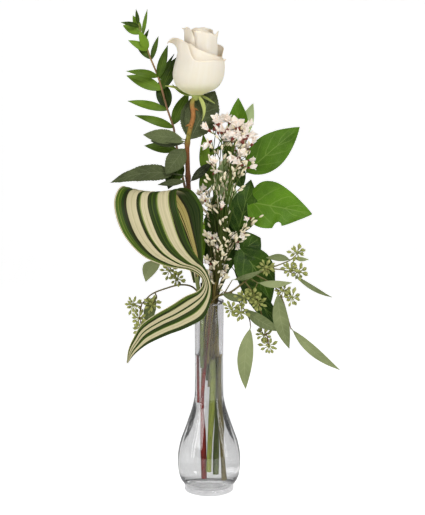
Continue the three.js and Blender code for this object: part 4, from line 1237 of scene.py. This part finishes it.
def small_shape(name, rows, sides, tone=0.5, petals=()):
    """A turned form on the origin, kept until the scattering tree has copied it; petals stand round it."""
    shape = Shape()
    revolve(shape, np.zeros(3), rows, sides, tone)
    for degrees, spread, length, width in petals:
        out = around(degrees)
        leaf(shape, out * 0.3 + UP * 0.8, out * (spread + 1.2) + UP * (length + 0.6), width, rows=5, cols=4,
             peak=0.55, arch=0.14, fold=0.0, cup=-0.3, face=-out, tone=1.0, thickness=0.3)
    return shape.object(name, bpy.data.materials.new(name))


class Spots:
    """Places for one scattered shape, each with the direction that it points to."""

    def __init__(self):
        self.places, self.aims = [], []

    def add(self, place, aim):
        self.places.append(place)
        self.aims.append(unit(aim))

    def object(self, name, shape, finish, seed, sizes):
        mesh = bpy.data.meshes.new(name)
        mesh.from_pydata([tuple(p * MM) for p in self.places], [], [])
        data = mesh.attributes.new("aim", "FLOAT_VECTOR", "POINT").data
        data.foreach_set("vector", np.array(self.aims, dtype=np.float32).ravel())
        values = {"Shape": shape, "Smallest": sizes[0], "Largest": sizes[1], "Seed": seed, "Finish": finish}
        piece = baked(name, linked(name, mesh), scatter_tree, values)
        piece.data.shade_smooth()
        return piece


SEED = [(0.05, 0), (0.45, 0.6), (1.05, 1.8), (1.35, 3.0), (1.2, 3.9), (0.65, 4.4), (0.28, 5.1), (0.05, 5.4)]
SEED_SIZES = (0.95, 1.3)
seed_shape = small_shape("seed", SEED, 8)
print("seed shape:", len(seed_shape.data.polygons), "faces")

# %% Seed heads
SEEDS_PER_HEAD = 18
SEED_SPIRAL, SPIRAL_SHAKE = 2.4, 0.5
HEAD_DEPTH, HEAD_LIFT = 0.8, 0.15
NEAREST_SEED, SEED_SPREAD = 2.2, 3.2


def seed_head(twigs, seed_stalks, seeds, centre, foot, draw):
    """A ball of seeds round a centre, each on its own stalk, and the stalk of the head from its foot."""
    tube(twigs, Curve([foot, (foot + centre) / 2 + UP * 0.6, centre]), 0.45, 0.5, sides=6, steps=8)
    for i in range(SEEDS_PER_HEAD):
        level = 1 - 2 * (i + 0.5) / SEEDS_PER_HEAD
        angle = SEED_SPIRAL * i + SPIRAL_SHAKE * draw.random()
        ring = math.sqrt(1 - level * level)
        out = unit(vec(math.cos(angle) * ring, HEAD_DEPTH * math.sin(angle) * ring, level + HEAD_LIFT))
        start = centre + out * (NEAREST_SEED + SEED_SPREAD * draw.random())
        stalk_curve = Curve([centre, centre + (start - centre) * 0.5, start])
        tube(seed_stalks, stalk_curve, 0.35, 0.4, sides=4, steps=2)
        seeds.add(start, out)


def nearest_on(curve, place):
    return min((curve.at(t) for t in np.linspace(0, 1, 9)), key=lambda p: np.linalg.norm(p - place))


print("seeds in a head:", SEEDS_PER_HEAD)

# %% Eucalyptus sprays
# Each twig: its start along the stem, its further points, its leaves as (share of the twig, tip x, y, z,
# width, own options), and the centres of its seed heads
EUCALYPTUS_RIGHT = [
    (0.67, [(15, -14, 217)], [(0.5, 43, -18, 210, 8)], [(36, -18, 212)]),
    (0.7, [(24, -12, 229)], [(1, 55, -16, 240, 5.5)], []),
    (0.74, [(32, -14, 205), (41, -16, 190), (43, -18, 181)],
     [(1, 38, -22, 116, 16, {"petiole": 0.04, "tone": 0.8}), (0.45, 74, -20, 177, 12)],
     [(23, -20, 200), (33, -20, 196)]),
    (0.83, [(50, -12, 208), (56, -14, 185), (60, -15, 170)], [],
     [(50, -18, 206), (62, -16, 160), (57, -13, 171)]),
    (0.86, [(50, -12, 226)], [(1, 85, -16, 227, 7.5)], [(45, -16, 213)]),
    (0.9, [(65, -10, 224), (76, -12, 208), (85, -13, 177)],
     [(0.98, 134, -32, 139, 10, {"tone": 0.7}), (0.5, 83, -18, 158, 16, {"tone": 0.5})],
     [(86, -14, 211), (77, -10, 217)]),
    (1, [(77, -5, 238), (86, -6, 235)], [(1, 128, 2, 208, 5)], [(59, -8, 241), (84, -6, 239), (93, -4, 236)]),
    (1, [(82, -3, 247), (90, -3, 253)], [(0.8, 103, -4, 249, 4.5), (0.6, 59, -6, 251, 7.5)], [(91, -3, 256)]),
]
EUCALYPTUS_LEFT = [
    (0.66, [(-36, 0, 234), (-49, 5, 245)], [(1, -66, 4, 224, 15, {"sweep": 0.2, "tone": 1.0})],
     [(-33, -3, 228), (-41, 1, 236)]),
    (0.84, [(-54, -5, 210)], [(0.4, -64, -2, 177, 12, {"tone": 0.0})], [(-59, -8, 202)]),
    (1, [(-72, -7, 192), (-71, -8, 182)], [], [(-79, -4, 201), (-73, -6, 187), (-71, -8, 176)]),
]
eucalyptus_finish = leaf_material("eucalyptus leaf", "#545f38", "#929b6c", "#b0b78a", "#848e60", 0.58, 9.0,
                                  0.3, slant=1.0, rib=0.06)
eucalyptus_bark = stem_material("eucalyptus twig", [
    (10, "#6c1608"), (70, "#7c1c0c"), (120, "#7a2010"), (160, "#6c2614"), (200, "#6a5a30"), (250, "#8d8a56"),
], spots=0.3)
seed_finish = leaf_material("eucalyptus seed", "#646e28", "#c2c47a", "#6f6c30", "#b4ba6c", 0.5, 1.0, 0.1)


def eucalyptus(stem, twig_rows, radii, seed):
    draw = np.random.default_rng(seed)
    twigs, blades, stalks, seeds = Shape(), Shape(), Shape(), Spots()
    tube(twigs, curves[stem], *radii, steps=90)
    for start, path, leaf_rows, heads in twig_rows:
        twig = Curve([curves[stem].at(start), *path])
        tube(twigs, twig, 0.8, 0.5, sides=7, steps=24)
        for share, x, y, z, width, *own in leaf_rows:
            options = {"petiole": 0.06, "sweep": 0.05, "tone": draw.random(), **(own[0] if own else {})}
            leaf(blades, twig.at(share), (x, y, z), width, rows=44, cols=8, ripple=0.008, **options)
        for head in heads:
            seed_head(twigs, stalks, seeds, vec(*head), nearest_on(twig, head), draw)
    for part, shape, finish in (("_twigs", twigs, eucalyptus_bark), ("_leaves", blades, eucalyptus_finish),
                                ("_seed_stalks", stalks, seed_finish)):
        dress(shape.object(stem + part, finish), stem)
    piece = seeds.object(stem + "_seeds", seed_shape, seed_finish, seed, SEED_SIZES)
    dress(piece, stem)


eucalyptus("eucalyptus_right", EUCALYPTUS_RIGHT, (1.9, 0.8), 11)
eucalyptus("eucalyptus_left", EUCALYPTUS_LEFT, (1.2, 0.7), 12)

# %% [markdown]
# ## Broom
# Broom is a bundle of wiry green twigs. Long cream buds with a brown foot sit close along them, and at the
# tips stand open blossoms: white petals, flushed with pink, on red-brown cups. They are largest at the top of
# the spray. A bud and a blossom are drawn once and scattered, like the seeds.

# %% Bud and blossom shapes
BUD = [(0.05, -0.2), (0.6, 0.2), (1.0, 1.2), (1.35, 3.0), (1.15, 4.8), (0.5, 6.2), (0.05, 6.6)]
CUP = [(0.05, -1.2), (0.6, -0.9), (1.05, 0.1), (1.2, 1.2), (0.9, 1.7), (0.05, 1.6)]
# Each petal: its direction in degrees, how far it leans out, its length and its width
BLOSSOM_PETALS = [(0, 1.0, 8.2, 4.8), (90, 2.6, 6.2, 3.6), (180, 1.2, 7.4, 4.4), (270, 2.4, 5.8, 3.6)]
bud_shape = small_shape("bud", BUD, 7)
blossom_shape = small_shape("blossom", CUP, 8, 0.0, BLOSSOM_PETALS)
print("bud and blossom:", len(bud_shape.data.polygons), len(blossom_shape.data.polygons), "faces")

# %% Broom finishes


def blossom_material():
    """The attribute tone is zero on the cup and one on the petals."""
    skin = Finish("broom blossom", {"Roughness": 0.6, "Subsurface Weight": 0.3, "Subsurface Scale": 0.002,
                                    "Subsurface Radius": (1.0, 0.75, 0.6)})
    cloud = skin.effect(mottle_group, Scale=160.0, Contrast=1.6)["Factor"]
    foot = skin.one_minus(skin.smooth(skin.uv()["Y"], 0.0, 0.2))
    white = skin.mix(foot, skin.mix(cloud, "#fff9ef", "#feebdb"), "#bc7450")
    return skin.done(skin.mix(skin.attribute("tone"), "#6e2a18", white), cloud, 0.2, 0.0003)


def bud_material():
    skin = Finish("broom bud", {"Roughness": 0.55})
    cloud = skin.effect(mottle_group, Scale=130.0, Contrast=2.0)["Factor"]
    along = [(0.0, "#5c2c16"), (0.2, "#8f6a40"), (0.36, "#e6dcb8"), (1.0, "#f8f2dc")]
    colour = skin.ramp(skin.uv()["Y"], along)
    return skin.done(skin.mix(skin.times(cloud, 0.3), colour, "#e0c898"), cloud, 0.2, 0.0003)


blossom_finish, bud_finish = blossom_material(), bud_material()
twig_finish = stem_material("broom twig", [
    (110, "#8f8258"), (150, "#5f5434"), (205, "#4a421e"), (300, "#46581c"), (400, "#5c6e2a")], spots=0.4)
print("finishes:", blossom_finish.name, bud_finish.name, twig_finish.name)

# %% Where the twigs and flowers go
# Long twigs: the height of the root on the stem and the tip
BROOM_FRONT = [
    (300, 12, -7, 380), (310, 36, -5, 373), (290, 41, -3, 361), (270, 3, -7, 372), (350, 31, -4, 382),
    (235, 44, -5, 293), (255, 4, -8, 338), (330, 40, -4, 375), (245, 12, -9, 300),
]
BROOM_BACK = [
    (280, -5, 8, 322), (270, 28, 9, 358), (260, 37, 8, 350), (228, 30, 8, 268), (250, -1, 6, 300),
    (290, 13, 6, 372),
]
# Clusters of flowers: (x, z)
CLUSTERS_FRONT = [
    (3, 385), (9, 391), (15, 387), (21, 393), (27, 389), (31, 383), (19, 382), (10, 382), (25, 376),
    (32, 371), (36, 375), (41, 371), (37, 366), (31, 364), (29, 358), (34, 352), (39, 349), (30, 349),
    (4, 352), (-6, 318), (-2, 313), (8, 312), (21, 282), (36, 281), (42, 290), (-2, 278), (3, 274),
    (8, 269), (0, 270), (11, 263), (5, 259), (13, 257), (-1, 252), (4, 247), (10, 249), (15, 243),
    (1, 241), (8, 238), (13, 234), (9, 226),
]
CLUSTERS_BACK = [
    (6, 386), (24, 392), (41, 362), (23, 346), (8, 347), (-11, 321), (-8, 311), (1, 308), (28, 272), (6, 265),
    (12, 270), (3, 232), (6, 219), (18, 240),
]
print("clusters:", len(CLUSTERS_FRONT), "in front and", len(CLUSTERS_BACK), "behind")

# %% Broom spray
BLOSSOMS_ABOVE, CLUSTERS_OPEN_ABOVE = 365, 345
CLUSTER_DRIFT, CLUSTER_LEFT, CLUSTER_DOWN, CLUSTER_DEPTH = 3, 1.5, 6.5, 8
SHORT_TWIG, LONGER_TWIG = 24, 22
FLOWERS_HIGH, FLOWERS_LOW = 2, 3
OPEN_SHARE_HIGH, OPEN_SHARE_LOW = 0.08, 0.2
FLOWER_SPREAD, FLOWER_LIFT, FLOWER_TO_FRONT = vec(1, 0.6, 0.6), 0.9, 0.2
BUD_SPACING_SHORT, BUD_SPACING_LONG, BUD_SPACING_SIDE = 10, 17, 15
BUD_LEAN = 0.55
SIDE_TWIGS = (0.3, 0.5, 0.7, 0.86)
SIDE_SHARE, LONGEST_SIDE_TWIG = 0.22, 15
SIDE_LEAST, SIDE_RANGE = 0.7, 0.5
SIDE_SPREAD, SIDE_ALONG = vec(1, 0.5, 0.3), 1.4
CLUSTER_RADII, BARE_RADII, LONG_RADII, SIDE_RADII = (0.55, 0.4), (0.8, 0.4), (0.7, 0.4), (0.5, 0.35)
BARE_TWIGS = 26
BARE_FROM_HEIGHT, BARE_HEIGHT_RANGE = 206, 60
# From a bare twig's root to its tip: the least step along x, y, z and the range that is drawn on top
BARE_LEAST, BARE_RANGE = vec(-9, -5, 40), vec(22, 10, 35)
BUD_SIZES, BLOSSOM_SIZES, TOP_BLOSSOM_SIZES = (0.8, 1.15), (0.85, 1.25), (1.3, 1.75)


class Spray:
    """One broom spray: its twigs, and the places of its buds and blossoms, all from a fixed seed."""

    def __init__(self, stem, radii, seed):
        self.stem, self.seed, self.draw = stem, seed, np.random.default_rng(seed)
        self.twigs, self.buds, self.blossoms, self.top_blossoms = Shape(), Spots(), Spots(), Spots()
        tube(self.twigs, curves[stem], *radii, sides=8, steps=90)

    def bud_row(self, curve, spacing, radii, first=0.2):
        length = np.linalg.norm(curve.at(1) - curve.at(0))
        tube(self.twigs, curve, *radii, sides=6, steps=max(6, int(length / 5)))
        count = max(2, int(length * (1 - first) / spacing))
        for i in range(count):
            t = first + (1 - first) * (i + 0.6 * self.draw.random()) / count
            lean = curve.along(t) + BUD_LEAN * unit(self.draw.normal(size=3))
            self.buds.add(curve.at(t) + unit(lean) * 0.5, lean)

    def cluster(self, x, z):
        """A short twig with flowers at its end. High up it has no buds, and its first flower is open."""
        draw = self.draw
        x += CLUSTER_DRIFT * draw.random() - CLUSTER_LEFT
        z += CLUSTER_DRIFT * draw.random() - CLUSTER_DOWN
        reach = SHORT_TWIG + LONGER_TWIG * draw.random()
        root = curves[self.stem].at_height(z - reach)
        place = vec(x, root[1] - CLUSTER_DEPTH / 2 + CLUSTER_DEPTH * draw.random(), z)
        bow = (root + place) / 2 + vec(0.15 * (root[0] - place[0]), 0, 0.1 * reach)
        high = z > CLUSTERS_OPEN_ABOVE
        if high:
            tube(self.twigs, Curve([root, bow, place]), *CLUSTER_RADII, sides=6, steps=8)
        else:
            self.bud_row(Curve([root, bow, place]), BUD_SPACING_SHORT, CLUSTER_RADII, 0.6)
        for number in range(FLOWERS_HIGH if high else FLOWERS_LOW):
            out = unit(draw.normal(size=3) * FLOWER_SPREAD + UP * FLOWER_LIFT + FRONT * FLOWER_TO_FRONT)
            is_open = draw.random() < (OPEN_SHARE_HIGH if high else OPEN_SHARE_LOW) or (high and number == 0)
            flowers = (self.top_blossoms if high else self.blossoms) if is_open else self.buds
            flowers.add(place + out * 2.5 * draw.random(), out)

    def bare_twig(self):
        draw = self.draw
        root = curves[self.stem].at_height(BARE_FROM_HEIGHT + BARE_HEIGHT_RANGE * draw.random())
        tip = root + (BARE_LEAST + BARE_RANGE * draw.random(size=3))
        tube(self.twigs, Curve([root, (root + tip) / 2 + UP * 4, tip]), *BARE_RADII, sides=6, steps=14)

    def side_twig(self, main, share, length):
        """A twig off a long one; its end carries a blossom when it is high enough."""
        start = main.at(share)
        out = self.draw.normal(size=3) * SIDE_SPREAD
        reach = length * (SIDE_LEAST + SIDE_RANGE * self.draw.random())
        end = start + unit(main.along(share) * SIDE_ALONG + unit(out)) * reach
        self.bud_row(Curve([start, (start + end) / 2 + UP, end]), BUD_SPACING_SIDE, SIDE_RADII)
        if end[2] > BLOSSOMS_ABOVE + 10 * self.draw.random():
            self.top_blossoms.add(end, end - start)

    def long_twig(self, height, *tip):
        """A twig with side twigs and a row of buds, and one blossom at its tip."""
        root, tip = curves[self.stem].at_height(height), vec(*tip)
        length = np.linalg.norm(tip - root)
        main = Curve([root, (root + tip) / 2 + UP * 0.06 * length, tip])
        self.bud_row(main, BUD_SPACING_LONG, LONG_RADII)
        for share in SIDE_TWIGS:
            self.side_twig(main, share, min(LONGEST_SIDE_TWIG, SIDE_SHARE * length))
        out = unit(self.draw.normal(size=3) + UP * 0.6)
        flowers = self.top_blossoms if tip[2] > BLOSSOMS_ABOVE else self.blossoms
        flowers.add(tip + out * 3 * self.draw.random(), out)

    def dress(self):
        dress(self.twigs.object(self.stem + "_twigs", twig_finish), self.stem)
        for part, spots, shape, finish, seed, sizes in (
                ("_buds", self.buds, bud_shape, bud_finish, self.seed, BUD_SIZES),
                ("_blossoms", self.blossoms, blossom_shape, blossom_finish, self.seed, BLOSSOM_SIZES),
                ("_top_blossoms", self.top_blossoms, blossom_shape, blossom_finish, self.seed + 1,
                 TOP_BLOSSOM_SIZES)):
            dress(spots.object(self.stem + part, shape, finish, seed, sizes), self.stem)


print("broom: clusters open above", CLUSTERS_OPEN_ABOVE, "mm")

# %% [markdown]
# ## Twigs in the neck
# The florist pushes more cut ends into the neck than the flowers above would need, and they fill it with
# mixed browns. They stand on a spiral, lean a little round the axis, and end just over the rim.

# %% Neck twigs and broom sprays
NECK_TWIGS = 30
NECK_SPIRAL = 2.4
# Least and range of each twig's distance from the axis, its height, and its turn from foot to top
FOOT_OUT, FOOT_HEIGHT = (6.5, 4.2), (136, 14)
TOP_OUT, TOP_HEIGHT = (5.5, 5.1), (214, 12)
LEAST_TURN, TURN_RANGE = 0.3, 1.1
neck_finish = leaf_material("neck twig", "#140e04", "#7c6e3a", "#8f8248", "#3a3014", 0.6, 9.0, 0.3)


def neck_twigs(node, seed):
    generator = np.random.default_rng(seed)

    def draw(least, extent):
        return least + extent * generator.random()

    shape = Shape()
    for i in range(NECK_TWIGS):
        angle = NECK_SPIRAL * i
        low, high = draw(*FOOT_OUT), draw(*TOP_OUT)
        foot = vec(low * math.cos(angle), low * math.sin(angle), draw(*FOOT_HEIGHT))
        turned = draw(angle + LEAST_TURN, TURN_RANGE)
        top = vec(high * math.cos(turned), high * math.sin(turned), draw(*TOP_HEIGHT))
        middle = (foot + top) / 2 * vec(0.9, 0.9, 1)
        tube(shape, Curve([foot, middle, top]), 1.2, 0.8, sides=8, steps=24, tone=draw(0, 1))
    dress(shape.object(node + "_neck_twigs", neck_finish), node)


neck_twigs("broom_front", 21)
for stem, rows, clusters, radii, seed in (
        ("broom_front", BROOM_FRONT, CLUSTERS_FRONT, (1.2, 0.6), 13),
        ("broom_back", BROOM_BACK, CLUSTERS_BACK, (1.0, 0.6), 14)):
    spray = Spray(stem, radii, seed)
    for x, z in clusters:
        spray.cluster(x, z)
    for _ in range(BARE_TWIGS):
        spray.bare_twig()
    for row in rows:
        spray.long_twig(*row)
    spray.dress()
for shape in (seed_shape, bud_shape, blossom_shape):
    bpy.data.objects.remove(shape)
